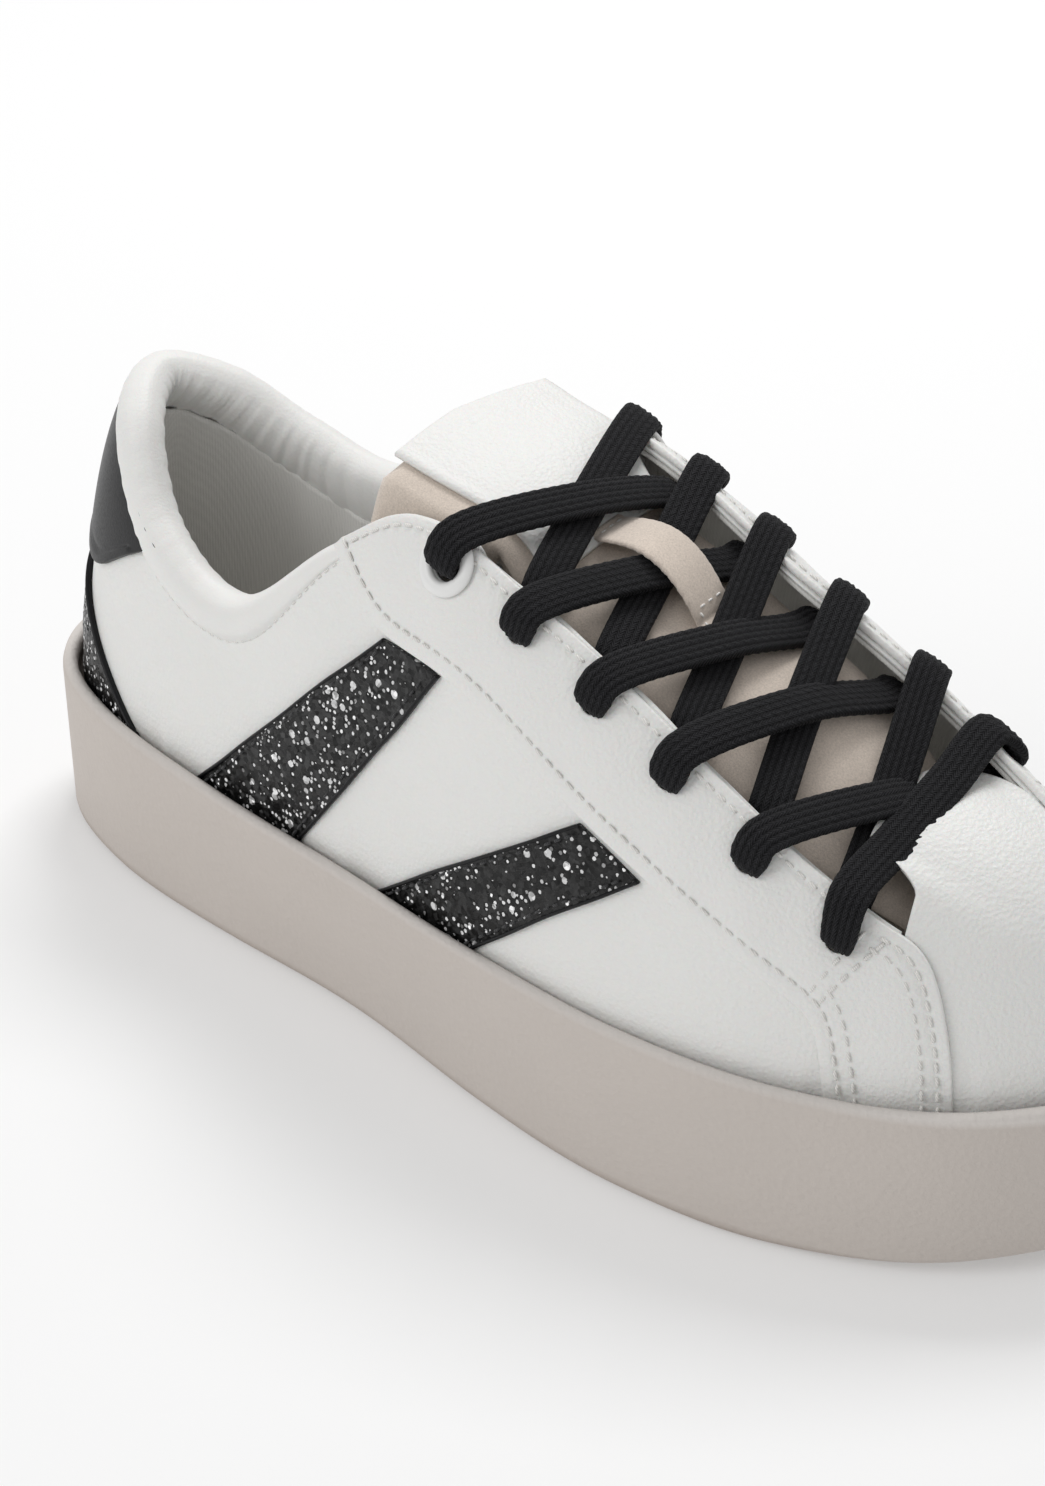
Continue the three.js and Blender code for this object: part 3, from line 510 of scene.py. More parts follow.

# Weave: two crossed rows of soft ribs, with painted shade darkening the hollows between them, for
# the textile lining and the footbed's cover.
weave_group, given, result = new_group(
    "weave", {"Colour": "Color", "Pitch": 0.0009, "Strength": 0.4, "Depth": 0.0002,
              "Vector": "Vector"}, {"Colour": "Color", "Normal": "Vector", "Height": "Float"})
tree = weave_group
spot = node(tree, "SeparateXYZ", {"Vector": given.outputs["Vector"]})
rate = math(tree, "DIVIDE", 6.2832, given.outputs["Pitch"])
ribs = [math(tree, "SINE", math(tree, "MULTIPLY", spot.outputs[axis], rate)) for axis in "XY"]
fuzz = node(tree, "TexNoise", {"Vector": given.outputs["Vector"]}, Scale=4500.0, Detail=3.0)
height = math(tree, "ADD", math(tree, "MULTIPLY", math(tree, "MULTIPLY", *ribs), 0.35),
              fuzz.outputs["Fac"])
# Painted shade: the colour is darker in the hollows between the ribs, with a random fuzz tone on
# top.
dark = math(tree, "ADD", math(tree, "MULTIPLY", height, 0.12), 0.9)
relief = node(tree, "Bump", {"Height": height, "Strength": given.outputs["Strength"],
                             "Distance": given.outputs["Depth"]})
tree.links.new(scaled(tree, given.outputs["Colour"], dark), result.inputs["Colour"])
tree.links.new(relief.outputs[0], result.inputs["Normal"])
tree.links.new(height, result.inputs["Height"])


def woven_material(name, colour, pitch, strength=0.4, **settings):
    """Matte textile: a fine weave over a cloudy tone, with a soft sheen."""
    material, tree, shader = new_material(name, colour, 0.92, **settings)
    shade = use_group(tree, tone_group, Colour=(*colour, 1), Amount=0.05, Scale=35.0)
    weave = use_group(tree, weave_group, Pitch=pitch, Strength=strength)
    tree.links.new(node(tree, "TexCoord").outputs["Object"], weave.inputs["Vector"])
    tree.links.new(shade.outputs["Colour"], weave.inputs["Colour"])
    tree.links.new(weave.outputs["Colour"], shader.inputs["Base Color"])
    tree.links.new(weave.outputs["Normal"], shader.inputs["Normal"])
    return material


footbed_cloth = woven_material("footbed_cloth", (0.70, 0.67, 0.62), 0.0011,
                               Sheen_Weight=0.25, Specular_IOR_Level=0.2)
finish_piece(footbed, footbed_cloth, stands_for=["footbed"])


# ======================================================================================
# QUARTERS AND VAMP
# The white coated-leather panels of the upper: one quarter on each side, meeting at the
# heel, and the vamp over the toes. They are lasted and cemented into the cupsole.
# ======================================================================================

SIDES = ("lateral", "medial")
LATERAL_TOP = np.array([[0, 1], [4.6, 1], [4.88, 0.93], [5.15, 0.8], [5.6, 0.68],
                        [6.2, 0.59], [6.9, 0.555], [7.45, 0.52]])
MEDIAL_TOP = np.array([[0, 1], [4.6, 1], [4.95, 0.975], [5.3, 0.92], [5.7, 0.87],
                       [6.2, 0.82], [6.9, 0.79], [7.45, 0.775]])


def top_edge(s):
    """Height t of the quarter's top edge: the collar, its front corner, then the throat,
    as the mean of a short stretch of the table so that its corners are rounded."""
    around = from_heel(s)[..., None] + np.linspace(-0.1, 0.1, 9)
    lateral = np.interp(around, *LATERAL_TOP.T).mean(-1)
    medial = np.interp(around, *MEDIAL_TOP.T).mean(-1)
    return np.where(np.mod(s, LAP) < 9, lateral, medial)


def below(s, t, distance):
    """The t that lies a distance down the wall from (s, t), walked in twelve steps."""
    s, t = np.broadcast_arrays(np.asarray(s, float), np.asarray(t, float))
    t = np.array(t)
    for _ in range(12):
        rate = np.linalg.norm(wall_point(s, t) - wall_point(s, t - 0.01), axis=-1) / 0.01
        t = t - distance / 12 / rate
    return t


def roll(s):
    """1 where the collar is a full padded roll, 0 where it has thinned to a plain edge."""
    return 1 - ease(from_heel(s), 3.15, 4.2)


def quarter_top(s):
    """Top of the quarter's leather: under the collar roll it stops at the roll's seam, and
    eases from there to the plain top edge in front."""
    seam = below(s, np.ones_like(s), 2.7 + 6.0 * roll(s))
    return np.where(from_heel(s) < 4.2, np.minimum(seam, top_edge(s)),
                    np.where(from_heel(s) < 4.5, seam + (top_edge(s) - seam)
                             * ease(from_heel(s), 4.2, 4.5), top_edge(s)))


def creases(point, size):
    """Slow shallow waves of soft leather, from three slanted sines of the place."""
    x, y, z = point[..., 0], point[..., 1], point[..., 2]
    return size * (np.sin(x / 9 + z / 13 + 2 * np.sin(y / 21)) * 0.5
                   + np.sin(x / 17 - z / 7 + y / 11) * 0.5
                   + np.sin(x / 5.1 + y / 6.3 + z / 8.7) * 0.2)


def panel_rings(s, low, high, outer, inner, rows):
    """Sections across a panel, one for each s: up the outer face from low to high with a
    rounded top edge, then down the inner face."""
    share = np.linspace(0, 1, rows) ** 0.9
    t = low[:, None] + (high - low)[:, None] * share
    column = np.broadcast_to(s[:, None], t.shape)
    height = np.linalg.norm(wall_point(s, high) - wall_point(s, high - 0.01), axis=-1)
    edge = (high[:, None] - t) / 0.01 * height[:, None]
    shoulder = 1 - np.sqrt(1 - (1 - np.clip(edge / 0.7, 0, 1)) ** 2)
    base = skin(column, t, 0)
    depth = outer + creases(base, 0.12) + shoulder * (inner - outer) * 0.5
    hug = 0.55 * np.exp(-((base[..., 2] - 35) / 7) ** 2) * (1 - overlaid(column))
    outside = skin(column, t, depth - hug)
    inside = skin(column, t, inner)
    return both_faces(outside, inside)


white_leather, *_ = grained_material(
    "white_leather", (0.80, 0.795, 0.775), 0.44, (0.022, 28.0),
    (1100.0, 3000.0, 0.9, 0.55, 0.00028),
    rough_spread=0.14, Specular_IOR_Level=0.42, Subsurface_Weight=0.06,
    Subsurface_Scale=0.002)

for side in SIDES:
    reach = np.linspace(0.012, 7.45, 430)
    s = reach if side == "lateral" else (LAP - reach)[::-1]
    rings = panel_rings(s, np.zeros_like(s), quarter_top(s), 0.0, 1.0, 64)
    quarter = tube(f"quarter_leather_{side}", rings)
    finish_piece(quarter, white_leather, stands_for=[f"quarter_{side}"])

# The vamp is laid out across the foot: each section climbs the outer side, crosses the
# ridge and comes down the inner side. Its ridge is softened by a running mean.
vamp_s = 9 - (9 - 7.47) * np.linspace(1, 0, 90) ** 1.15


def vamp_surface(depth, rows=70):
    """Vamp sections at a depth, from one lasting edge to the other over the ridge. Near the
    throat the sections lead back under the lace above the eyestays, and dip half of the way
    from the ridge to a straight chord between the two sides. Both fade out to the toe as
    the cube of the share of the way left."""
    t = np.linspace(0, 1, rows)
    lead = ((9 - vamp_s) / (9 - vamp_s[0])) ** 3
    lead_in = 0.36 * lead[:, None]
    lateral = skin(vamp_s[:, None] - lead_in * ease(t, 0.62, 0.76), t[None, :], depth)
    medial = skin(LAP - vamp_s[:, None] + lead_in * ease(t, 0.74, 0.88)[::-1],
                  t[None, ::-1], depth)
    grid = np.concatenate([lateral, medial[:, 1:]], 1)
    share = np.concatenate([t, t[::-1][1:]])
    for reach, start in ((5, 0.80), (3, 0.86)):
        padded_grid = np.pad(grid, ((0, 0), (reach, reach), (0, 0)), mode="edge")
        mean = sum(padded_grid[:, k:k + grid.shape[1]] for k in range(2 * reach + 1))
        weight = ease(share, start, start + 0.12)[None, :, None]
        grid = grid + (mean / (2 * reach + 1) - grid) * weight
    low, high = np.searchsorted(t, 0.60), 2 * rows - 2 - np.searchsorted(t, 0.72)
    u = np.clip((np.arange(2 * rows - 1) - low) / (high - low), 0, 1)[None, :, None]
    chord = grid[:, low:low + 1] * (1 - u) + grid[:, high:high + 1] * u
    sag = 0.5 * lead[:, None, None] * ease(np.minimum(u, 1 - u), 0, 0.22)
    return grid + (chord - grid) * [0, 0, 1] * sag


outside = vamp_surface(0.0)
normal_push = unit(np.cross(np.gradient(outside, axis=0), np.gradient(outside, axis=1)))
outside = outside - normal_push * creases(outside, 0.10)[..., None] * \
    ease(np.arange(len(vamp_s)), len(vamp_s) - 1, len(vamp_s) - 12)[:, None, None]
hug = 0.6 * np.exp(-((outside[..., 2] - 37) / 7) ** 2) * (1 - overlaid(vamp_s))[:, None]
outside = outside + unit(outside - [[[70, 4, 45]]]) * [1, 1, 0] * hug[..., None]
vamp = tube("vamp_leather", both_faces(outside, vamp_surface(1.0)))
finish_piece(vamp, white_leather, stands_for=["vamp"])


# ======================================================================================
# LININGS, COLLAR FOAM AND COLLAR ROLL
# The lining is a light woven cloth. Around the ankle the collar is foam wrapped in soft
# white leather, sewn to the quarter under the roll and turned over to the inside.
# ======================================================================================

lining_cloth = woven_material("lining_cloth", (0.79, 0.78, 0.75), 0.0008, strength=0.5,
                              Sheen_Weight=0.3, Specular_IOR_Level=0.2)


def lining_top(s):
    """Top of the lining: 4.2 to 13.2 mm down from the top behind the collar roll, easing to
    0.4 mm below the edge along the throat."""
    behind = below(s, np.ones_like(s), 4.2 + 9.0 * roll(s))
    edge = below(s, top_edge(s), 0.4)
    return behind + (np.minimum(edge, 1) - behind) * ease(from_heel(s), 4.15, 4.5)


LINING_THICKNESS = 0.8
s = np.linspace(-7.45, 7.45, 460)
share = np.linspace(0, 1, 40) ** 0.9
t = 0.01 + (lining_top(s) - 0.01)[:, None] * share
column = np.broadcast_to(s[:, None], t.shape)
near = lining_depth(column)
pucker = 0.35 * np.sin(column * 9 + 3 * np.sin(column * 2.3)) * ease(t, 0.1, 0.5)
outside = skin(column, t, near + pucker * roll(column))
inside = skin(column, t, near + LINING_THICKNESS + pucker * roll(column))
lining = tube("lining_cloth", both_faces(outside, inside))
finish_piece(lining, lining_cloth, stands_for=["collar_lining"])
near = lining_depth(vamp_s)[:, None]
vamp_cloth = tube("vamp_lining_cloth",
                  both_faces(vamp_surface(near), vamp_surface(near + LINING_THICKNESS)))
finish_piece(vamp_cloth, lining_cloth, stands_for=["vamp_lining"])

# Collar roll: rows of (a0, aL, af, b0, bL, bf). Out from the wall by a0 + aL L + af f and
# up from its top by b0 + bL L + bf f, where L is the depth of the lining and f the roll.
ROLL_SECTION = np.array([
    [-1.3, 0, 0, -3.3, 0, -6.4], [-0.25, 0, 0, -2.9, 0, -6.1], [0.0, 0, 0.75, -2.6, 0, -5.3],
    [0.05, 0, 1.25, -2.2, 0, -4.0], [0.05, 0, 1.4, -1.7, 0, -2.5],
    [-0.05, 0, 1.05, -1.1, 0, -1.1], [-0.3, -0.02, 0.3, -0.45, 0, -0.3],
    [-0.3, -0.12, -0.2, 0.0, 0, 0], [-0.2, -0.3, -0.1, 0.15, 0, 0.15],
    [-0.2, -0.5, -0.1, 0.15, 0, 0.15], [-0.3, -0.72, -0.3, 0.0, 0, -0.1],
    [-0.25, -0.92, -0.7, -0.6, 0, -0.8], [-0.15, -1, -1.1, -1.5, 0, -2.4],
    [-0.1, -1, -1.4, -2.5, 0, -4.8], [-0.1, -1, -1.1, -3.5, 0, -7.4],
    [-0.05, -1, -0.5, -4.4, 0, -9.6], [-0.05, -1, 0.0, -5.2, 0, -11.2],
    [0.25, -0.95, 0.1, -4.6, 0, -9.0], [0.1, -0.8, 0, -3.4, 0, -6.6],
    [-0.6, -0.4, 0, -3.2, 0, -6.4]])

section = through(ROLL_SECTION, np.arange(len(ROLL_SECTION) * 3) / 3)
s = np.linspace(-4.62, 4.62, 520)
full, deep = roll(s)[:, None], lining_depth(s)[:, None] + 0.85
out = section[:, 0] + section[:, 1] * deep + section[:, 2] * full
up = section[:, 3] + section[:, 4] * deep + section[:, 5] * full
ruck = np.sin(s * 31 + 4 * np.sin(s * 3.1))[:, None] * 0.10 + np.sin(s * 67)[:, None] * 0.03
inner_side = ease(-section[:, 1], 0.5, 1.0)
out = out - ruck * full * (0.35 + 1.1 * inner_side)
end_fade = ease(np.abs(s), 4.62, 4.3)[:, None]
rim = wall_point(s, 1.0)
normal = unit(wall_normal(s, 0.985))
upward = unit(wall_point(s, 1.0) - wall_point(s, 0.96))
sink = (1 - end_fade) * 1.6
rings = (rim[:, None] + normal[:, None] * (out - sink * (out > -1))[..., None]
         + upward[:, None] * (up - sink)[..., None])
collar = tube("collar_roll", rings)
soft_leather, *_ = grained_material(
    "collar_leather", (0.80, 0.795, 0.775), 0.50, (0.03, 45.0),
    (1700.0, 4200.0, 0.9, 0.30, 0.0002),
    rough_spread=0.10, Specular_IOR_Level=0.38, Subsurface_Weight=0.06, Subsurface_Scale=0.002)
finish_piece(collar, soft_leather, stands_for=["collar_foam"])


# ======================================================================================
# EYESTAYS
# A second layer of white leather from the collar along the throat, turning down in
# front into a leg that is lasted into the sole. Six lace holes are punched in each.
# ======================================================================================

EYESTAY_LOWER = [[4.02, 0.985], [4.2, 0.78], [4.45, 0.64], [4.98, 0.5], [5.5, 0.39],
                 [6.08, 0.33], [6.65, 0.3], [7, 0.275], [7.12, 0.235], [7.19, 0.15], [7.26, 0.04]]
EYESTAY_UPPER = {
    "lateral": [[4.12, 1], [4.6, 0.985], [4.92, 0.9], [5.3, 0.75], [5.75, 0.65], [6.2, 0.59],
                [6.75, 0.56], [7.3, 0.525], [7.62, 0.485], [7.82, 0.3], [7.92, 0.04]],
    "medial": [[4.12, 1], [4.6, 0.995], [4.95, 0.97], [5.3, 0.92], [5.75, 0.865], [6.2, 0.82],
               [6.75, 0.795], [7.3, 0.78], [7.7, 0.72], [7.85, 0.4], [7.92, 0.04]]}
OVERLAY_DEPTHS = (-1.35, -0.06)


def rail(points, u):
    """A place at a share u along a rail, whose points are evenly shared out."""
    points = np.asarray(points, float)
    place = np.clip(np.asarray(u, float), 0, 1) * (len(points) - 1)
    return through(points, place, closed=False)


def on_side(points, side):
    """Rail points as given for the outer side, or mirrored to the inner side."""
    points = np.array(points, float)
    if side == "medial":
        points[:, 0] = LAP - points[:, 0]
    return points


def between_rails(lower, upper, u, v):
    """(s, t) at a share u along two rails and v across from the lower to the upper."""
    low, high = rail(lower, u), rail(upper, u)
    place = low + (high - low) * np.asarray(v)[..., None]
    return place[..., 0], np.clip(place[..., 1], 0.0, 1.0)


def strip_width(lower, upper, u):
    """Distance between the two rails over the skin, summed in eight steps."""
    v = np.linspace(0, 1, 9)
    s, t = between_rails(lower, upper, u[:, None], v[None])
    return np.linalg.norm(np.diff(skin(s, t, 0), axis=1), axis=-1).sum(1)


def strip_rings(lower, upper, along, across, depths, relief=None, radius=0.45):
    """Sections across an overlay: over the outer face with rounded shoulders, then back
    under it. relief(edge, s, t) is an extra sink in millimetres, where edge is the
    distance from the nearer long edge."""
    outer, inner = depths
    u = np.linspace(0, 1, along)
    width = strip_width(lower, upper, u)[:, None]
    near = np.array([0, 0.04, 0.12, 0.26, 0.45, 0.9, 1.6])
    reach = np.minimum(near[None, :], width * 0.45 * near[None, :] / near[-1])
    middle = np.linspace(0, 1, across + 2)[1:-1]
    inner_run = reach[:, -1:] + (width - 2 * reach[:, -1:]) * middle
    run = np.concatenate([reach, inner_run, width - reach[:, ::-1]], 1)
    v = run / width
    edge = np.minimum(run, width - run)
    s, t = between_rails(lower, upper, u[:, None], v)
    shoulder = np.sqrt(1 - (1 - np.clip(edge / radius, 0, 1)) ** 2)
    skived = 0.55 + 0.45 * ease(wall_point(s, t)[..., 2], 37, 47)
    depth = inner + (outer - inner) * shoulder * skived
    sink = creases(skin(s, t, 0), 0.12)
    if relief:
        sink = sink + relief(edge, s, t)
    outside = skin(s, t, depth + sink * np.clip(edge / 1.2, 0, 1))
    inside = skin(s, t, inner)
    return both_faces(outside, inside)


def run_length(points):
    """Distance along a line of points, from its first point."""
    return np.concatenate([[0], np.cumsum(np.linalg.norm(np.diff(points, axis=0), axis=-1))])


def read_along(values, run, where):
    """Points or vectors given at the distances run, read at other distances."""
    return np.stack([np.interp(where, run, values[:, c]) for c in range(3)], -1)


def stitch_rows(name, rows, material, pitch=2.9, length=2.25, width=0.72, sunk=-0.02):
    """Sewing thread seen from outside: one short rounded stitch after another along each
    row. A row is (points, normals). Each stitch is a tapering six-sided capsule whose two
    ends bend down into the leather."""
    bead = np.linspace(-1, 1, 9)
    angle = full_turn(6)
    radius = np.sqrt(np.maximum(0, 1 - np.abs(bead) ** 5)) * 0.95 + 0.05
    shape = np.stack([np.repeat(bead * length / 2, 6),
                      (radius[:, None] * np.cos(angle) * width / 2).ravel(),
                      (radius[:, None] * np.sin(angle) * width / 2).ravel()
                      - np.repeat(0.34 * bead ** 4, 6)], -1)
    quads = loft_faces(9, 6)[:, ::-1]
    caps = [[5, 4, 3, 2, 1, 0][::-1], [48 + k for k in range(6)]]
    corners, faces = [], []
    for points, normals in rows:
        run = run_length(points)
        count = max(1, int(run[-1] / pitch))
        where = (np.arange(count) + 0.5) * run[-1] / count
        centre, normal = read_along(points, run, where), unit(read_along(normals, run, where))
        ahead = unit(read_along(points, run, where + 0.4) - read_along(points, run, where - 0.4))
        aside = unit(np.cross(normal, ahead))
        ahead = np.cross(aside, normal)
        body = (centre[:, None] + shape[None, :, :1] * ahead[:, None]
                + shape[None, :, 1:2] * aside[:, None]
                + (shape[None, :, 2:] - sunk) * normal[:, None])
        base = sum(len(c) for c in corners)
        corners.append(body.reshape(-1, 3))
        start = base + np.arange(count)[:, None, None] * len(shape)
        faces += (quads[None] + start).reshape(-1, 4).tolist()
        for cap in caps:
            faces += (np.array(cap)[None] + start[:, 0]).tolist()
    return finish_piece(add_mesh(name, np.concatenate(corners), faces), material)


def thread_material(name, colour):
    """Twisted sewing thread: fine slanted ribs over its own colour, painted darker in the hollows
    between them as shade.
    """
    material, tree, shader = new_material(name, colour, 0.62, Sheen_Weight=0.2)
    place = node(tree, "TexCoord").outputs["Object"]
    ribs = node(tree, "TexWave", {"Vector": place}, Scale=900.0, Distortion=1.5, Detail=1.0,
                bands_direction="DIAGONAL")
    emboss(tree, shader, ribs.outputs["Fac"], 0.5, 0.0001)
    # Painted shade: the thread's colour is darkened to 0.78 of itself in the hollows of the ribs.
    rib_shaded_colour = mix_colour(tree, ribs.outputs["Fac"], tuple(c * 0.78 for c in colour), colour)
    tree.links.new(rib_shaded_colour, shader.inputs["Base Color"])
    return material


white_thread = thread_material("white_thread", (0.86, 0.845, 0.81))
black_thread = thread_material("black_thread", (0.016, 0.016, 0.018))


def row_on_wall(s, t, lift):
    """Points and normals of a stitch row lying on the skin at (s, t)."""
    return skin(s, t, -lift), wall_normal(s, t)


def row_along(lower, upper, u, distance, from_lower, lift):
    """A row lying on a strip, a distance in from one of its two long edges."""
    v = distance / strip_width(lower, upper, u)
    s, t = between_rails(lower, upper, u, v if from_lower else 1 - v)
    return row_on_wall(s, t, lift)


def groove(edge, distance, sink=0.2, half_width=0.5):
    """A soft furrow pulled in by stitching at a distance from the edge."""
    return sink * np.exp(-((edge - distance) / half_width) ** 2)


FIRST_HOLE_X, HOLE_PITCH, HOLE_DROP = -9.5, 18.6, 8.2


def hole_place(side, x):
    """The place on the eyestay that lies at x, a hole's drop below the throat edge."""
    reach = np.linspace(4.6, 7.44, 285)
    s = reach if side == "lateral" else LAP - reach
    around = from_heel(s)
    table = LATERAL_TOP if side == "lateral" else MEDIAL_TOP
    t = below(s, np.interp(around, *table.T), HOLE_DROP)
    nearest = np.argmin(np.abs(wall_point(s, t)[:, 0] - x))
    return float(s[nearest]), float(t[nearest])


holes = {side: [hole_place(side, FIRST_HOLE_X + HOLE_PITCH * row) for row in range(6)]
         for side in SIDES}


def punch(piece, places, radius):
    """Cuts round holes along the wall's normal through a closed piece."""
    work = bmesh.new()
    for s, t in places:
        centre = Vector(wall_point(s, t) * 0.001)
        turn = Vector(wall_normal(s, t)).to_track_quat("Z", "Y").to_matrix().to_4x4()
        bmesh.ops.create_cone(work, cap_ends=True, segments=32, radius1=radius * 0.001,
                              radius2=radius * 0.001, depth=0.016,
                              matrix=Matrix.Translation(centre) @ turn)
    cutter_mesh = bpy.data.meshes.new("punch")
    work.to_mesh(cutter_mesh)
    work.free()
    cutter = bpy.data.objects.new("punch", cutter_mesh)
    bpy.context.scene.collection.objects.link(cutter)
    cut = piece.modifiers.new("holes", "BOOLEAN")
    cut.object, cut.operation, cut.solver = cutter, "DIFFERENCE", "EXACT"
    bpy.context.view_layer.update()
    done = bpy.data.meshes.new_from_object(
        piece.evaluated_get(bpy.context.evaluated_depsgraph_get()))
    piece.modifiers.clear()
    piece.data = done
    done.shade_smooth()
    bpy.data.objects.remove(cutter)
    bpy.data.meshes.remove(cutter_mesh)


def hole_dimple(s, t, places):
    """Leather drawn down around each lace hole, as a bell of the distance from it."""
    point = wall_point(s, t)
    sink = 0
    for place in places:
        distance = np.linalg.norm(point - wall_point(*place), axis=-1)
        sink = sink + 0.55 * np.exp(-(distance / 3.6) ** 2)
    return sink


for side in SIDES:
    lower, upper = on_side(EYESTAY_LOWER, side), on_side(EYESTAY_UPPER[side], side)
    lower[3:8, 1] += 0.06 if side == "medial" else 0

    def eyestay_relief(edge, s, t):
        return (groove(edge, 3.2, 0.3) + hole_dimple(s, t, holes[side][1:])
                + 0.12 * np.sin(s * 14) * ease(edge, 1, 5))

    rings = strip_rings(lower, upper, 420, 34, OVERLAY_DEPTHS, eyestay_relief)
    eyestay = tube(f"eyestay_leather_{side}", rings)
    finish_piece(eyestay, white_leather, stands_for=[f"eyestay_{side}"])
    quarter = bpy.data.objects[f"quarter_leather_{side}"]
    for layer, radius, top_radius in ((eyestay, 2.6, 3.3), (quarter, 3.0, 3.4),
                                      (lining, 3.0, 3.4)):
        punch(layer, holes[side][1:], radius)
        punch(layer, holes[side][:1], top_radius)

    u = np.linspace(0, 1, 700)
    rows = []
    for start, end, distance, from_lower in (
            (0.0, 0.985, 3.2, True), (0.03, 0.66, 2.9, False), (0.72, 0.985, 3.0, False),
            (0.72, 0.985, 6.2, True), (0.72, 0.985, 6.0, False)):
        stretch = u[(u >= start) & (u <= end)]
        rows.append(row_along(lower, upper, stretch, distance, from_lower, 1.35))
    # Two rows across the top of the front leg.
    for u_here in (0.705, 0.735):
        span = strip_width(lower, upper, np.array([u_here]))[0]
        v = np.linspace(3.2 / span, 1 - 3.0 / span, 60)
        s, t = between_rails(lower, upper, np.full(60, u_here), v)
        rows.append(row_on_wall(s, t, 1.35))
    stitch_rows(f"eyestay_stitching_{side}", rows, white_thread)

# The seam under the collar roll is sewn through both leathers.
rows = []
for start, end in ((2.12, 4.02), (-4.02, -2.12)):
    s = np.linspace(start, end, 300)
    rows.append(row_on_wall(s, below(s, quarter_top(s), 0.9), 0.05))
stitch_rows("collar_stitching", rows, white_thread, pitch=2.6, length=1.9, width=0.5)


# ======================================================================================
# HEEL TAB AND GLITTER
# A smooth black leather tab wraps the heel above a strip of bare quarter. The counter
# under it and the two slanting bands on each side are cloth covered in glitter flakes.
# ======================================================================================

black_leather, *_ = grained_material(
    "black_leather", (0.0055, 0.0055, 0.0065), 0.36, (0.2, 30.0),
    (1900.0, 4200.0, 0.7, 0.16, 0.00014),
    rough_spread=0.16, Specular_IOR_Level=0.22)

HEEL_TAB_LOWER = [[-2.02, 0.86], [-1.35, 0.49], [-0.7, 0.44], [0, 0.43], [0.7, 0.44],
                  [1.35, 0.49], [2.02, 0.86]]
HEEL_TAB_UPPER = [[-2.1, 0.93], [-1.5, 0.93], [-0.75, 0.93], [0, 0.93], [0.75, 0.93],
                  [1.5, 0.93], [2.1, 0.93]]


def fold_over(edge, s, t):
    """The folded lower edge: a raised rib 3 mm wide with a crease above it."""
    lower = t < 0.75
    return np.where(lower, groove(edge, 3.3, 0.28, 0.4) - 0.18 * (1 - ease(edge, 2.2, 3.2)), 0)


tab_rings = strip_rings(HEEL_TAB_LOWER, HEEL_TAB_UPPER, 220, 30, (-1.45, -0.06), fold_over)
heel_tab = tube("heel_tab_leather", tab_rings)
finish_piece(heel_tab, black_leather, stands_for=["heel_tab"])

# Glitter: a black ground with round flakes of two sizes stuck on it. Each cell has its own
# tilt and brightness, so that a few flash silver and the most stay charcoal.
glitter, tree, shader = new_material("glitter", (0.02, 0.02, 0.024), 0.35,
                                     Specular_IOR_Level=0.3)
place = node(tree, "TexCoord").outputs["Object"]


def flakes(scale, shine_from, size):
    """Round silver flakes in Voronoi cells: (mask, cell colour, its three numbers). A cell
    has a flake where its first number is above shine_from."""
    cells = node(tree, "TexVoronoi", {"Vector": place}, Scale=scale, Randomness=0.85)
    dice = node(tree, "SeparateColor", {"Color": cells.outputs["Color"]}).outputs
    silver = math(tree, "GREATER_THAN", dice["Red"], shine_from)
    inside = math(tree, "LESS_THAN", cells.outputs["Distance"], size)
    return math(tree, "MULTIPLY", silver, inside), cells.outputs["Color"], dice


small, small_colour, small_dice = flakes(900.0, 0.66, 0.38)
large, *_ = flakes(420.0, 0.84, 0.38)
either = math(tree, "MAXIMUM", small, large)
dark = node(tree, "MapRange", {"Value": small_dice["Green"]}, To_Min=0.001, To_Max=0.022)
bright = node(tree, "MapRange", {"Value": small_dice["Blue"]}, To_Min=0.45, To_Max=0.98)
tree.links.new(mix_colour(tree, either, dark.outputs[0], bright.outputs[0]),
               shader.inputs["Base Color"])
tree.links.new(math(tree, "MULTIPLY", either, 0.25), shader.inputs["Metallic"])
tilt = node(tree, "VectorMath", {0: small_colour}, operation="SUBTRACT")
tilt.inputs[1].default_value = (0.5, 0.5, 0.5)
tipped = node(tree, "VectorMath", {0: node(tree, "NewGeometry").outputs["Normal"],
                                   1: scaled(tree, tilt.outputs[0], 1.15)}, operation="ADD")
straight = node(tree, "VectorMath", {0: tipped.outputs[0]}, operation="NORMALIZE")
lumps = math(tree, "ADD", math(tree, "MULTIPLY", small_dice["Blue"], 0.7),
             math(tree, "MULTIPLY", large, 0.8))
emboss(tree, shader, lumps, 0.6, 0.00035, Normal=straight.outputs[0])


def flaky(edge, s, t):
    """The rough face of the glitter cloth: a jitter of a tenth of a millimetre."""
    return 0.10 * np.sin(s * 301 + t * 977) * np.sin(s * 523 - t * 617) * ease(edge, 0.3, 1.0)


def edge_tape(name, lower, upper, along, on_lower):
    """A thin black painted edge: a bead laid along one long edge of a strip."""
    centre, normal = row_along(lower, upper, np.linspace(0, 1, along), 0.25, on_lower, 0.75)
    ahead = unit(np.gradient(centre, axis=0))
    aside = np.cross(normal, ahead)
    angle = full_turn(12)[None, :, None]
    rings = (centre[:, None] + np.cos(angle) * aside[:, None] * 0.42
             + np.sin(angle) * normal[:, None] * 0.66)
    bead = tube(name, rings)
    return finish_piece(bead, black_leather)


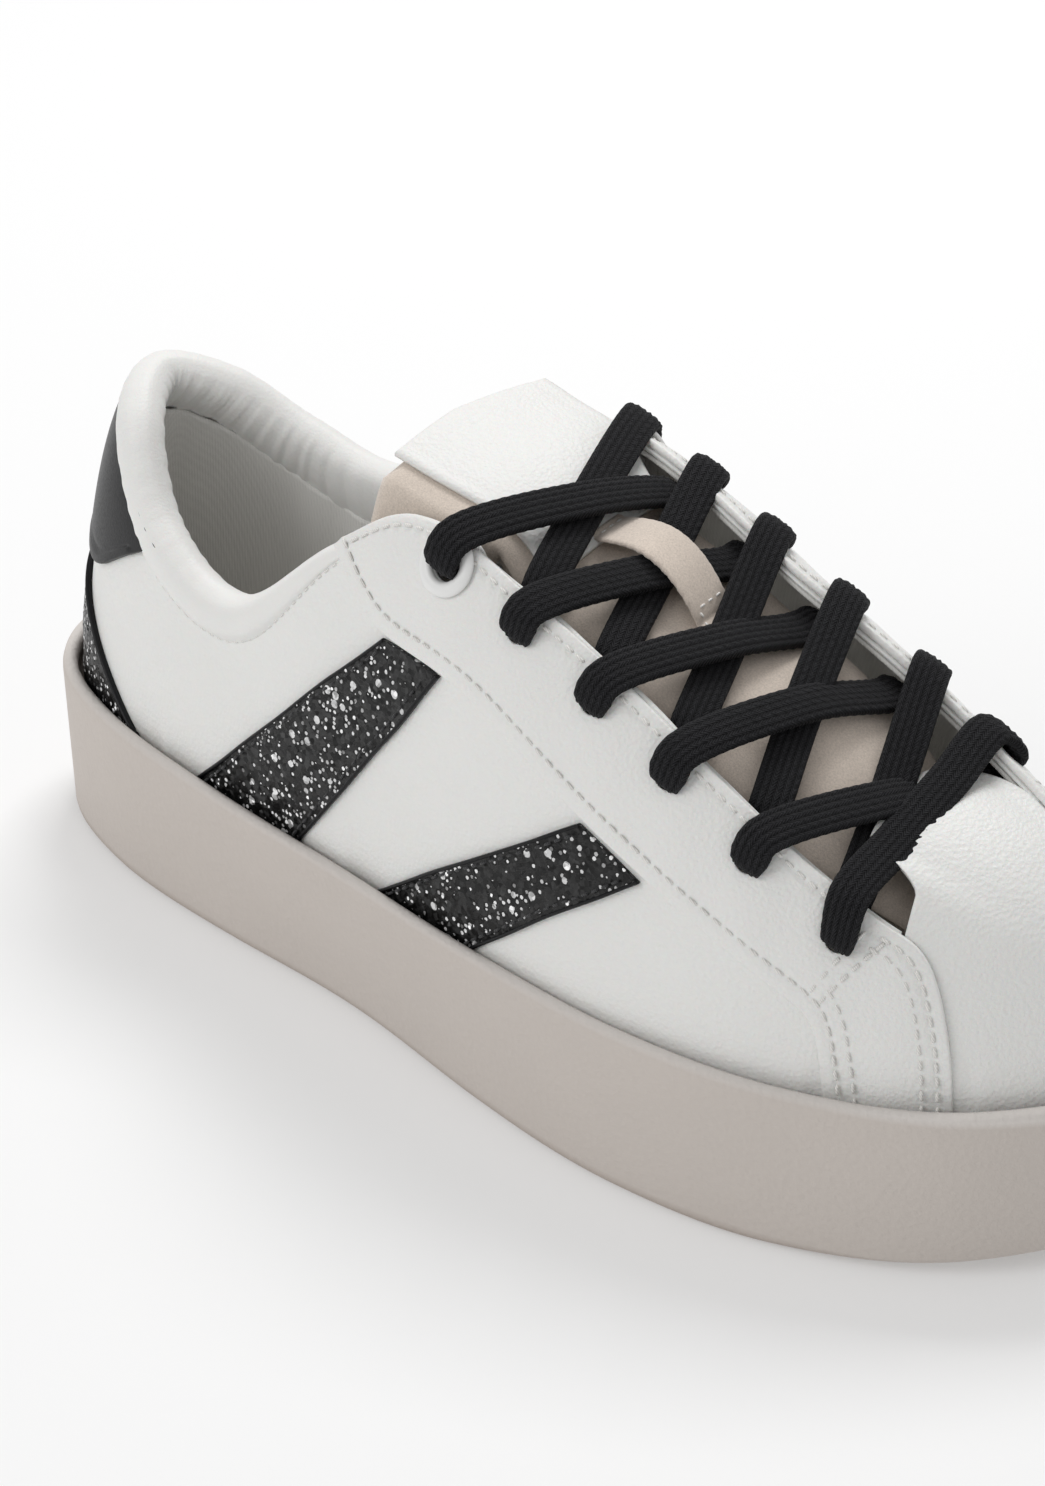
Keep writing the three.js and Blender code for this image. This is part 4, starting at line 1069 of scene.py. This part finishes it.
COUNTER_LOWER = [[-2.36, 0.12], [-1.6, 0.12], [-0.8, 0.12], [0, 0.12], [0.8, 0.12],
                 [1.6, 0.12], [2.36, 0.12]]
COUNTER_UPPER = [[-2.32, 0.17], [-1.7, 0.27], [-0.85, 0.35], [0, 0.38], [0.85, 0.35],
                 [1.7, 0.27], [2.32, 0.17]]
counter = tube("heel_glitter", strip_rings(COUNTER_LOWER, COUNTER_UPPER, 320, 24,
                                           (-1.25, -0.06), flaky, radius=0.5))
finish_piece(counter, glitter, stands_for=["heel_glitter_counter"])
edge_tape("heel_glitter_edge", COUNTER_LOWER, COUNTER_UPPER, 260, False)

BANDS = {
    "rear": ([[2.55, 0.13], [2.72, 0.21], [3.18, 0.41], [3.61, 0.525], [4.03, 0.605],
              [4.38, 0.65]],
             [[3.46, 0.11], [3.59, 0.16], [3.91, 0.28], [4.21, 0.38], [4.5, 0.455],
              [4.78, 0.54]]),
    "front": ([[4, 0.09], [4.17, 0.12], [4.61, 0.18], [5, 0.23], [5.34, 0.29], [5.64, 0.36]],
              [[4.75, 0.065], [4.89, 0.085], [5.22, 0.14], [5.51, 0.2], [5.78, 0.26],
               [6.02, 0.322]])}
for side in SIDES:
    thread_rows = []
    for name, (lower, upper) in BANDS.items():
        lower, upper = on_side(lower, side), on_side(upper, side)
        rings = strip_rings(lower, upper, 180, 40, (-1.15, -0.06), flaky, radius=0.5)
        band = tube(f"glitter_cloth_{name}_{side}", rings)
        finish_piece(band, glitter, stands_for=[f"glitter_band_{name}_{side}"])
        for low_edge in (True, False):
            edge_tape(f"glitter_edge_{name}_{side}_{'low' if low_edge else 'high'}",
                      lower, upper, 160, low_edge)
            thread_rows.append(row_along(lower, upper, np.linspace(0.04, 0.94, 240), 2.0,
                                         low_edge, 1.2))
    stitch_rows(f"band_stitching_{side}", thread_rows, black_thread, pitch=2.6, length=2.0,
                width=0.55)


# ======================================================================================
# TOP EYELETS
# The first hole on each side has a white moulded ring with a rounded flange, clinched
# over a washer inside the shoe.
# ======================================================================================

eyelet_plastic, *_ = grained_material(
    "eyelet_plastic", (0.80, 0.80, 0.79), 0.30, (0.02, 200.0),
    (900.0, 2500.0, 0.3, 0.05, 0.0001),
    Specular_IOR_Level=0.5)
RING_PROFILE = np.array([[3.3, -3.6], [3.3, 1.6], [3.45, 2.25], [3.95, 2.62], [4.6, 2.66],
                         [5.4, 2.5], [6.1, 2.12], [6.35, 1.75], [6.2, 1.45], [5.4, 1.4],
                         [3.85, 1.4], [3.75, 0.6], [3.7, -3.6]])
WASHER_PROFILE = np.array([[3.75, -4.6], [5.2, -4.6], [5.35, -4.3], [5.2, -3.95], [3.75, -3.95]])


def turned(name, profile, place, segments=72):
    """A profile (radius, height) turned around the wall's normal at one place."""
    axis = wall_normal(*map(np.asarray, place))
    first = unit(np.cross(axis, [0.3, 0.2, 0.9]))
    second = np.cross(axis, first)
    angle = full_turn(segments)[:, None, None]
    radial = np.cos(angle) * first + np.sin(angle) * second
    rings = (wall_point(*map(np.asarray, place)) + radial * profile[None, :, :1]
             + axis * profile[None, :, 1:])
    return tube(name, rings, ends="joined")


for side in SIDES:
    ring = turned(f"eyelet_flange_{side}", RING_PROFILE, holes[side][0])
    finish_piece(ring, eyelet_plastic, stands_for=[f"eyelet_ring_{side}"])
    washer = turned(f"eyelet_back_{side}", WASHER_PROFILE, holes[side][0])
    finish_piece(washer, eyelet_plastic, stands_for=[f"eyelet_washer_{side}"])


# ======================================================================================
# TONGUE
# Suede face and cloth lining round a thin foam filling, sewn under the vamp at its root.
# It lies in the throat under the lace, and its free tip bends at the top of the throat.
# ======================================================================================

CROWN = np.array([[99, 62], [85, 70], [69, 79], [53, 88], [37, 96], [23, 101.5], [9, 106],
                  [-3, 111], [-15, 115.5], [-26, 118.5], [-37, 120.5]])
crown_curve = rail(CROWN, np.linspace(0, 1, 2001))[::-1]


def crown(x):
    """Height of the tongue's crown line at x, from a smooth curve through its points."""
    return np.interp(x, crown_curve[:, 0], crown_curve[:, 1])


def tongue_half_widths(x):
    """Reach of the tongue to the outer and to the inner side of its middle line: eased from
    one width at the free end to another in the throat, and narrowed at the root."""
    root = 1 - 0.35 * ease(x, 66, 98)
    return (22.5 + 4 * ease(x, -6, 8)) * root, (22 - 7 * ease(x, -14, 4)) * root


def tongue_surface(x, across):
    """The tongue's face: the crown line, plus a slope up towards the inner side less a
    parabola across, plus a low hump in the throat. Beyond -1 a flap turns down steeply
    inside the collar on the outer side."""
    x, across = np.broadcast_arrays(np.asarray(x, float), np.asarray(across, float))
    flap, a = np.maximum(0, -across - 1), np.maximum(across, -1)
    outer_reach, inner_reach = tongue_half_widths(x)
    y = 3 + np.where(a < 0, a * outer_reach, a * inner_reach)
    lean = 0.14 * (y + 3) - 0.0040 * (y + 3) ** 2 - 2.6 * (1 - ease(x, -30, -6))
    hump = 4 * ease(x, 36, 56) * (1 - ease(x, 66, 80)) * np.maximum(0, 1 - ((y - 5) / 20) ** 2)
    skew = (5 * np.maximum(a, 0) - 7.5 * flap) * (1 - ease(x, -36, -16))
    return np.stack([x + skew, y - 1.8 * (1 - np.exp(-flap / 0.12)),
                     crown(x) + lean + hump - 33 * flap], -1)


def tongue_point(x, across, depth):
    """A point of the tongue: its face moved in along the face's normal."""
    x, across, depth = np.broadcast_arrays(*(np.asarray(v, float) for v in (x, across, depth)))
    along = tongue_surface(x + 0.2, across) - tongue_surface(x - 0.2, across)
    aside = tongue_surface(x, across + 0.01) - tongue_surface(x, across - 0.01)
    return tongue_surface(x, across) - unit(np.cross(along, aside)) * depth[..., None]


def outer_limit(x):
    """How far the layers reach to the outer side: with the flap at the free tip only."""
    return 1 + 0.62 * (1 - ease(x, -14, -4))


def tongue_layer(name, x, outer, inner, reach=1.0, count=60):
    """A layer of the tongue: outer(x, a) and inner(x, a) are its two depths at a share a
    of the way to each long edge."""
    a = np.sin(np.linspace(-1, 1, count) * np.pi / 2) * reach
    x, a = np.meshgrid(x, a, indexing="ij")
    across = np.where(a < 0, a * outer_limit(x), a)
    return tube(name, both_faces(tongue_point(x, across, outer(x, a)),
                                 tongue_point(x, across, inner(x, a))))


def edge_curl(a, power=9):
    """Share of the way round the long edge: 0 on the face, 1 at the very edge."""
    return np.abs(a) ** power


def tip_curl(x):
    """The same at the free tip."""
    return 1 - ease(x, -36, -31.5)


tip_x = np.concatenate([-36 + 5 * np.linspace(0, 1, 12) ** 2, np.linspace(-30, 96, 150)])


def face_depth(x, a):
    """Crowned face: swells 0.7 mm along the middle, curls down at the edges and tip."""
    swell = 0.7 * (1 - a ** 2) * ease(x, 92, 60) * (1 - 0.6 * ease(x, 0, -12))
    curl = 1 - (1 - np.maximum(edge_curl(a), tip_curl(x) ** 2.2)) ** 0.5
    return 0.1 - swell * 0.3 + 2.6 * curl


suede, tree, shader = new_material("suede", (0.66, 0.575, 0.50), 0.95, Sheen_Weight=0.35,
                                   Sheen_Roughness=0.45, Specular_IOR_Level=0.12)
place = node(tree, "TexCoord").outputs["Object"]
shade = use_group(tree, tone_group, Colour=(0.66, 0.575, 0.50, 1), Amount=0.10, Scale=90.0)
nap = node(tree, "TexNoise", {"Vector": place}, Scale=2600.0, Detail=4.0, Roughness=0.7)
fleck = node(tree, "TexNoise", {"Vector": place}, Scale=900.0, Detail=2.0)
nap_tone = node(tree, "MapRange", {"Value": nap.outputs["Fac"]}, From_Min=0.3, From_Max=0.7,
                To_Min=0.82, To_Max=1.14)
tree.links.new(scaled(tree, shade.outputs["Colour"], nap_tone.outputs[0]),
               shader.inputs["Base Color"])
fibre = math(tree, "ADD", nap.outputs["Fac"], math(tree, "MULTIPLY", fleck.outputs["Fac"], 0.5))
emboss(tree, shader, fibre, 0.55, 0.00025)


def finish_bending(piece, material, stands_for):
    """Finishes a piece that runs over the hinge, from the shoe onto the tongue's tip."""
    finish_piece(piece, material, body=None, stands_for=stands_for)
    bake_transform(piece)


face = tongue_layer("tongue_suede", tip_x, face_depth, lambda x, a: face_depth(x, a) + 1.2)
finish_bending(face, suede, ["tongue_face", "tongue_tip_face"])

filling = tongue_layer(
    "tongue_filling", np.linspace(-33.5, 94, 130),
    lambda x, a: face_depth(x, a) + 1.3,
    lambda x, a: np.maximum(face_depth(x, a) + 1.5, 4.6 - 1.3 * edge_curl(a, 6)), reach=0.965)
finish_bending(filling, foam_white, ["tongue_foam", "tongue_tip_foam"])

back = tongue_layer(
    "tongue_cloth", tip_x,
    lambda x, a: 4.8 - 0.9 * np.maximum(edge_curl(a, 7), tip_curl(x) ** 2),
    lambda x, a: 5.6 - 1.3 * np.maximum(edge_curl(a, 7), tip_curl(x) ** 2), reach=0.985)
finish_bending(back, lining_cloth, ["tongue_lining", "tongue_tip_lining"])


# ======================================================================================
# TONGUE LABEL
# A plain patch of white leather, cut raw, sewn on the tip of the tongue. Its lower end
# passes under the top lace.
# ======================================================================================

label_x = np.linspace(-36.4, 6, 120)
a = np.linspace(-1, 1, 40)
x_grid, a_grid = np.meshgrid(label_x, a, indexing="ij")
a_label = 0.11 + a_grid * 0.87
corner = np.maximum(ease(np.abs(a_grid), 0.955, 1.0), np.maximum(
    ease(x_grid, label_x[0] + 0.7, label_x[0]), ease(x_grid, label_x[-1] - 0.7, label_x[-1])))
seam = np.minimum.reduce([(1 - np.abs(a_grid)) * 18, label_x[-1] - x_grid + 0 * a_grid])
lift = face_depth(np.maximum(x_grid, -29), a_label * 0.6) - 0.12
top_depth = lift - 1.25 + 0.3 * corner ** 2 + groove(seam, 2.6, 0.15)
label = tube("tongue_patch", both_faces(tongue_point(x_grid, a_label, top_depth),
                                        tongue_point(x_grid, a_label, lift - 0.06)))
finish_bending(label, white_leather, ["tongue_label"])


# ======================================================================================
# LACE KEEPER
# A short suede strap with raw fibrous edges, sewn down at both ends on the middle of the
# tongue and standing up between them so that the lace passes through.
# ======================================================================================

STRAP_HALF_WIDTH, STRAP_MIDDLE = 5.4 / 26, -0.05
keeper_x = np.linspace(3.5, 34.5, 120)
keeper_share = (keeper_x - 3.5) / 31
arch = 7.0 * np.sin(np.pi * np.clip((keeper_share - 0.04) / 0.84, 0, 1)) ** 0.85 + 0.25
a = np.linspace(-1, 1, 22)
x_grid, a_grid = np.meshgrid(keeper_x, a, indexing="ij")
ragged = 1 + 0.012 * np.sin(x_grid * 3.1) + 0.01 * np.sin(x_grid * 7.7 + 1)
a_strap = STRAP_MIDDLE + a_grid * STRAP_HALF_WIDTH * ragged
rise = arch[:, None] * (1 - 0.03 * a_grid ** 2)
rounding = 0.22 * ease(np.abs(a_grid), 0.86, 1.0)
end_round = ease(keeper_x, 4.2, 3.5)[:, None] + ease(keeper_x, 33.8, 34.5)[:, None]
keeper_face = face_depth(x_grid, a_strap)
keeper = tube("lace_keeper_strap", both_faces(
    tongue_point(x_grid, a_strap, keeper_face - 1.25 - rise + rounding + 0.25 * end_round),
    tongue_point(x_grid, a_strap, keeper_face - 0.08 - rise - rounding)))
finish_piece(keeper, suede, stands_for=["lace_keeper"])
rows = []
square = [((32.6, 32.6), (-0.72, 0.72)), ((28.9, 32.6), (-0.72, -0.72)),
          ((28.9, 32.6), (0.72, 0.72)), ((28.9, 28.9), (-0.72, 0.72)),
          ((4.9, 4.9), (-0.72, 0.72))]
for (x0, x1), (a0, a1) in square:
    x_line = np.linspace(x0, x1, 24)
    a_line = STRAP_MIDDLE + np.linspace(a0, a1, 24) * STRAP_HALF_WIDTH
    height = np.interp(x_line, keeper_x, arch)
    depth = face_depth(x_line, a_line) - 1.25 - height
    points = tongue_point(x_line, a_line, depth)
    normals = unit(tongue_point(x_line, a_line, depth - 1) - points)
    rows.append((points, normals))
stitch_rows("keeper_stitching", rows, white_thread, pitch=2.0, length=1.5, width=0.5)


# ======================================================================================
# LACE
# One flat tubular braid, 8 mm wide. A bar joins the two front holes; from there each end
# crosses the tongue five times, going down into each hole from above, and is tucked
# inside the collar with its hard tip.
# ======================================================================================

LACE_WIDTH, LACE_IN_HOLE, LACE_THICKNESS = 8.4, 5.0, 2.6
ON_TOP, UNDER = -2.95, 5.0
LOW_PASS, HIGH_PASS, PLAIT = 2.0, 4.9, 2.1
EDGEWAYS = np.array([0.91, 0, -0.41])


def over_tongue(x, y, height):
    """A point at a height above the tongue's face, and 1.5 mm more over the label."""
    outer_reach, inner_reach = tongue_half_widths(x)
    across = (y - 3) / (outer_reach if y < 3 else inner_reach)
    on_label = 1.5 * (1 - ease(x, 7, 12))
    return tongue_point(x, across, -height - on_label)


def down_through(place, lift=0.0, under=4.75):
    """Lace points going down into a hole from above, squeezed narrow."""
    s, t = place
    return [(skin(s, t - 0.012, ON_TOP * 0.55 - lift), LACE_WIDTH * 0.78),
            (skin(s, t, 0.6 - lift), LACE_IN_HOLE), (skin(s, t, under), LACE_IN_HOLE)]


PANEL_GRID = np.meshgrid(np.linspace(4.3, 7.6, 331), np.linspace(0.3, 1, 141), indexing="ij")


def over_panel(x, y, side):
    """The place (s, t) on one side of the upper whose plan position is nearest to x, y."""
    s = PANEL_GRID[0] if side == "lateral" else LAP - PANEL_GRID[0]
    point = panel_points[side]
    nearest = np.argmin((point[..., 0] - x) ** 2 + (point[..., 1] - y) ** 2)
    return float(s.ravel()[nearest]), float(PANEL_GRID[1].ravel()[nearest])


panel_points = {"lateral": wall_point(*PANEL_GRID),
                "medial": wall_point(LAP - PANEL_GRID[0], PANEL_GRID[1])}


def crossing(start, end, side, height, lift):
    """Lace points on a straight line in plan from the hole before to the next hole: under
    the first side of the throat, over the tongue, and down onto the other side."""
    a, b = wall_point(*start), wall_point(*end)
    other = "medial" if side == "lateral" else "lateral"

    def edge_share(hole):
        rim = wall_point(hole[0], float(top_edge(np.array(hole[0]))))
        return (rim[1] - a[1]) / (b[1] - a[1])

    out, back = edge_share(start), edge_share(end)
    plan = lambda share: a[:2] + (b[:2] - a[:2]) * share

    def tongue(share, up):
        x, y = plan(share)
        return over_tongue(x, np.clip(y, -22, 17), up), LACE_WIDTH

    def panel(share, where, depth):
        s, t = over_panel(*plan(share), where)
        return skin(s, t, depth), LACE_WIDTH

    return [panel(out * 0.5, other, UNDER), tongue(out + 0.07, LOW_PASS * 0.9),
            tongue(0.5, height),
            panel(back + (1 - back) * 0.35, side, ON_TOP - 0.35 - lift),
            panel(back + (1 - back) * 0.9, side, ON_TOP * 0.95 - lift)]


def tucked(side, around, t):
    """A lace point inside the collar, 3 mm in from the lining."""
    s = around if side == "lateral" else LAP - around
    return skin(s, t, float(lining_depth(around)) + LINING_THICKNESS + 3.0)


def lace_half(side):
    """One half of the lace, from its front hole to its tucked end."""
    route = down_through(holes[side][5])
    for row in range(4, -1, -1):
        start = holes[side][row + 1]
        side = "medial" if side == "lateral" else "lateral"
        end = holes[side][row]
        lift = 1.2 if row == 0 else 0.0
        route += crossing(start, end, side, HIGH_PASS if side == "lateral" else LOW_PASS, lift)
        route += down_through(end, lift, 6.8 if row == 0 else 4.75)
    return route + [(tucked(side, around, t), LACE_WIDTH)
                    for around, t in ((4.72, 0.64), (4.6, 0.52), (4.52, 0.42))]


def front_bar():
    """The bar over the front of the throat: a straight chord between the two front holes,
    lifted onto the edge of the vamp where that stands higher."""
    (left, left_t), (right, right_t) = holes["lateral"][5], holes["medial"][5]
    vamp_edge = vamp_surface(-ON_TOP - 0.2)[1]
    low, high = skin(left, left_t + 0.1, ON_TOP + 0.1), skin(right, right_t + 0.09, ON_TOP + 0.1)
    bar = [(low, LACE_WIDTH)]
    for share in (0.3, 0.5, 0.7):
        point = low * (1 - share) + high * share
        under = vamp_edge[np.argmin(np.abs(vamp_edge[:, 1] - point[1]))]
        point[2] = max(point[2], under[2])
        bar.append((point, LACE_WIDTH))
    first, last = ((skin(s, t + 0.012, ON_TOP * 0.93), LACE_WIDTH * 0.9)
                   for s, t in ((left, left_t), (right, right_t)))
    return [first, *bar, (high, LACE_WIDTH), last]


def smooth_route(points, samples):
    """Centripetal Catmull-Rom through the points: each span is a cubic whose end slopes
    come from its neighbours, weighed by the square roots of the distances."""
    ends = np.concatenate([2 * points[:1] - points[1:2], points, 2 * points[-1:] - points[-2:-1]])
    gap = np.maximum(np.linalg.norm(np.diff(ends, axis=0), axis=-1), 1e-6)[:, None] ** 0.5
    p0, p1, p2, p3 = ends[:-3], ends[1:-2], ends[2:-1], ends[3:]
    d0, d1, d2 = gap[:-2], gap[1:-1], gap[2:]
    m1 = ((p1 - p0) / d0 - (p2 - p0) / (d0 + d1) + (p2 - p1) / d1) * d1
    m2 = ((p2 - p1) / d1 - (p3 - p1) / (d1 + d2) + (p3 - p2) / d2) * d1
    f = (np.arange(samples) / samples)[None, :, None]
    p1, p2, m1, m2 = (v[:, None] for v in (p1, p2, m1, m2))
    curve = ((2 * f ** 3 - 3 * f ** 2 + 1) * p1 + (f ** 3 - 2 * f ** 2 + f) * m1
             + (3 * f ** 2 - 2 * f ** 3) * p2 + (f ** 3 - f ** 2) * m2)
    return np.concatenate([curve.reshape(-1, 3), points[-1:]])


route = lace_half("lateral")[::-1] + front_bar() + lace_half("medial")
knots = np.array([point for point, _ in route])
widths = np.array([width for _, width in route])
rough = smooth_route(knots, 24)
width_here = np.interp(np.arange(len(rough)) / 24, np.arange(len(widths)), widths)
run = run_length(rough)
lace_length = run[-1]
even = np.linspace(0, lace_length, int(lace_length / 0.5) + 1)
centre = read_along(rough, run, even)
width = np.interp(even, run, width_here)
kernel = np.hanning(9)[1:-1] / np.hanning(9)[1:-1].sum()
padded_centre = np.pad(centre, ((3, 3), (0, 0)), mode="edge")
centre = sum(k * padded_centre[i:i + len(centre)] for i, k in enumerate(kernel))
width = np.convolve(np.pad(width, 3, mode="edge"), kernel, mode="valid")
ahead = unit(np.gradient(centre, axis=0))
aside = EDGEWAYS - ahead * (ahead @ EDGEWAYS)[:, None]
padded_aside = np.pad(unit(aside), ((8, 8), (0, 0)), mode="edge")
aside = sum(padded_aside[k:k + len(centre)] for k in range(17))
aside = unit(aside - ahead * (aside * ahead).sum(-1, keepdims=True))
upright = np.cross(ahead, aside)

# Cross-section of the braid: a flat oval. Six cords run along each face, and along each
# cord its plaits swell and sink, half a plait out of step from one cord to the next.
angle = full_turn(56)
flat_x = np.sign(np.cos(angle)) * np.abs(np.cos(angle)) ** 0.8
flat_z = np.sign(np.sin(angle)) * np.abs(np.sin(angle)) ** 0.62
cord = (flat_x + 1) * 3.0
cord_swell = np.abs(np.sin(cord * np.pi)) ** 0.7
which = np.floor(np.clip(cord, 0, 5.999))
plait = np.cos(2 * np.pi * (even[:, None] / PLAIT + 0.5 * which[None, :]
                            + (0.8 * (cord - which - 0.5) * (1 - 2 * (which % 2)))[None, :]))
swell = 0.24 * cord_swell[None, :] + 0.17 * plait * cord_swell[None, :] - 0.16
squeeze = np.clip(width / LACE_WIDTH, 0.3, 1)
thick = LACE_THICKNESS * (1 + 0.35 * (1 - squeeze))
x_part = flat_x[None, :] * (width / 2 - 0.1)[:, None] + np.cos(angle) * swell * 0.6
z_part = flat_z[None, :] * (thick / 2)[:, None] * (1 - 0.12 * flat_x ** 2)[None, :] \
    + np.sin(angle)[None, :] * swell
lace_rings = (centre[:, None] + aside[:, None] * x_part[..., None]
              + upright[:, None] * z_part[..., None])
braid_place = np.stack(np.broadcast_arrays(cord[None, :], even[:, None] / PLAIT,
                                           (flat_z > 0)[None, :] * 1.0), -1)
lace_braid = tube("lace_braid", lace_rings, attributes={"braid": braid_place})

lace_cloth, tree, shader = new_material("lace_cloth", (0.006, 0.006, 0.007), 0.72,
                                        Sheen_Weight=0.04, Sheen_Roughness=0.4,
                                        Specular_IOR_Level=0.14)
braid = node(tree, "Attribute", attribute_name="braid")
spot = node(tree, "SeparateXYZ", {"Vector": braid.outputs["Vector"]})
lean = math(tree, "PINGPONG", spot.outputs["X"], 0.5)
strand = math(tree, "ADD", math(tree, "MULTIPLY", spot.outputs["Y"], 3.0),
              math(tree, "MULTIPLY", lean, 3.0))
yarn = math(tree, "ABSOLUTE", math(tree, "SINE", math(tree, "MULTIPLY", strand, 3.14159)))
valley = math(tree, "ABSOLUTE", math(tree, "SINE", math(tree, "MULTIPLY", spot.outputs["X"],
                                                       3.14159)))
height = math(tree, "ADD", math(tree, "MULTIPLY", yarn, 0.6), math(tree, "MULTIPLY", valley, 0.5))
fuzz = node(tree, "TexNoise", {"Vector": node(tree, "TexCoord").outputs["Object"]},
            Scale=3000.0, Detail=2.0)
glint = node(tree, "MapRange", {"Value": math(tree, "MULTIPLY", height, fuzz.outputs["Fac"])},
             From_Min=0.1, From_Max=0.7)
tree.links.new(mix_colour(tree, glint.outputs[0], (0.001, 0.001, 0.0013), (0.03, 0.03, 0.033)),
               shader.inputs["Base Color"])
emboss(tree, shader, height, 0.9, 0.00025)
finish_piece(lace_braid, lace_cloth, stands_for=["lace"])

# The hard tips at both ends: shrunk tube over the braid, with a rounded end.
tip_plastic, *_ = grained_material(
    "lace_tip_plastic", (0.014, 0.014, 0.016), 0.25, (0.1, 300.0),
    (900.0, 2500.0, 0.4, 0.15, 0.0001))
for side in SIDES:
    start, end = tucked(side, 4.52, 0.395), tucked(side, 4.48, 0.21)
    share = np.array([0, 0.01, 0.04, 0.1, 0.5, 0.9, 0.97, 0.99, 1.0])
    radius = np.array([0.9, 1.3, 1.5, 1.45, 1.45, 1.45, 1.35, 1.1, 0.5])
    axis = unit(end - start)
    first = unit(np.cross(axis, [0.2, 0.9, 0.1]))
    angle = full_turn(24)[None, :, None]
    round_part = np.cos(angle) * first + np.sin(angle) * np.cross(axis, first)
    rings = (start + (end - start) * share[:, None])[:, None] \
        + round_part * radius[:, None, None]
    tag = tube(f"lace_tip_{side}", rings)
    finish_piece(tag, tip_plastic, stands_for=[f"lace_tag_{side}"])


# ======================================================================================
# FLOOR AND LIGHT
# A pale matt floor that glows a little, an even white room, and two large soft lamps: the
# key above the inner side of the shoe, and the fill in front of the outer side.
# ======================================================================================

floor = add_mesh("floor", [[-6e3, -6e3, -0.3], [6e3, -6e3, -0.3], [6e3, 6e3, -0.3],
                           [-6e3, 6e3, -0.3]], [[0, 1, 2, 3]], tidy=False)
floor_paper, *_ = grained_material(
    "floor_paper", (0.64, 0.64, 0.64), 0.9, (0.004, 8.0),
    (200.0, 800.0, 0.2, 0.02, 0.0001),
    Specular_IOR_Level=0.1, Emission_Color=(1, 1, 1, 1), Emission_Strength=0.27)
floor.data.materials.append(floor_paper)

world = bpy.data.worlds.new("soft_room")
bpy.context.scene.world = world
world.use_nodes = True
world.node_tree.nodes["Background"].inputs["Color"].default_value = (1, 1, 1, 1)
world.node_tree.nodes["Background"].inputs["Strength"].default_value = 0.52


def soft_box(name, place, aim, size, power):
    """A square area light at a place, turned towards its aim."""
    lamp = bpy.data.lights.new(name, "AREA")
    lamp.size, lamp.energy = size, power
    holder = bpy.data.objects.new(name, lamp)
    holder.location = place
    holder.rotation_euler = (Vector(aim) - Vector(place)).to_track_quat("-Z", "Y").to_euler()
    bpy.context.scene.collection.objects.link(holder)


soft_box("key", (-0.35, 0.7, 1.35), (0, 0, 0.05), 0.6, 12.0)
soft_box("fill", (-0.5, -1.3, 1.0), (0, 0, 0.05), 1.0, 7.5)

bpy.context.view_layer.update()
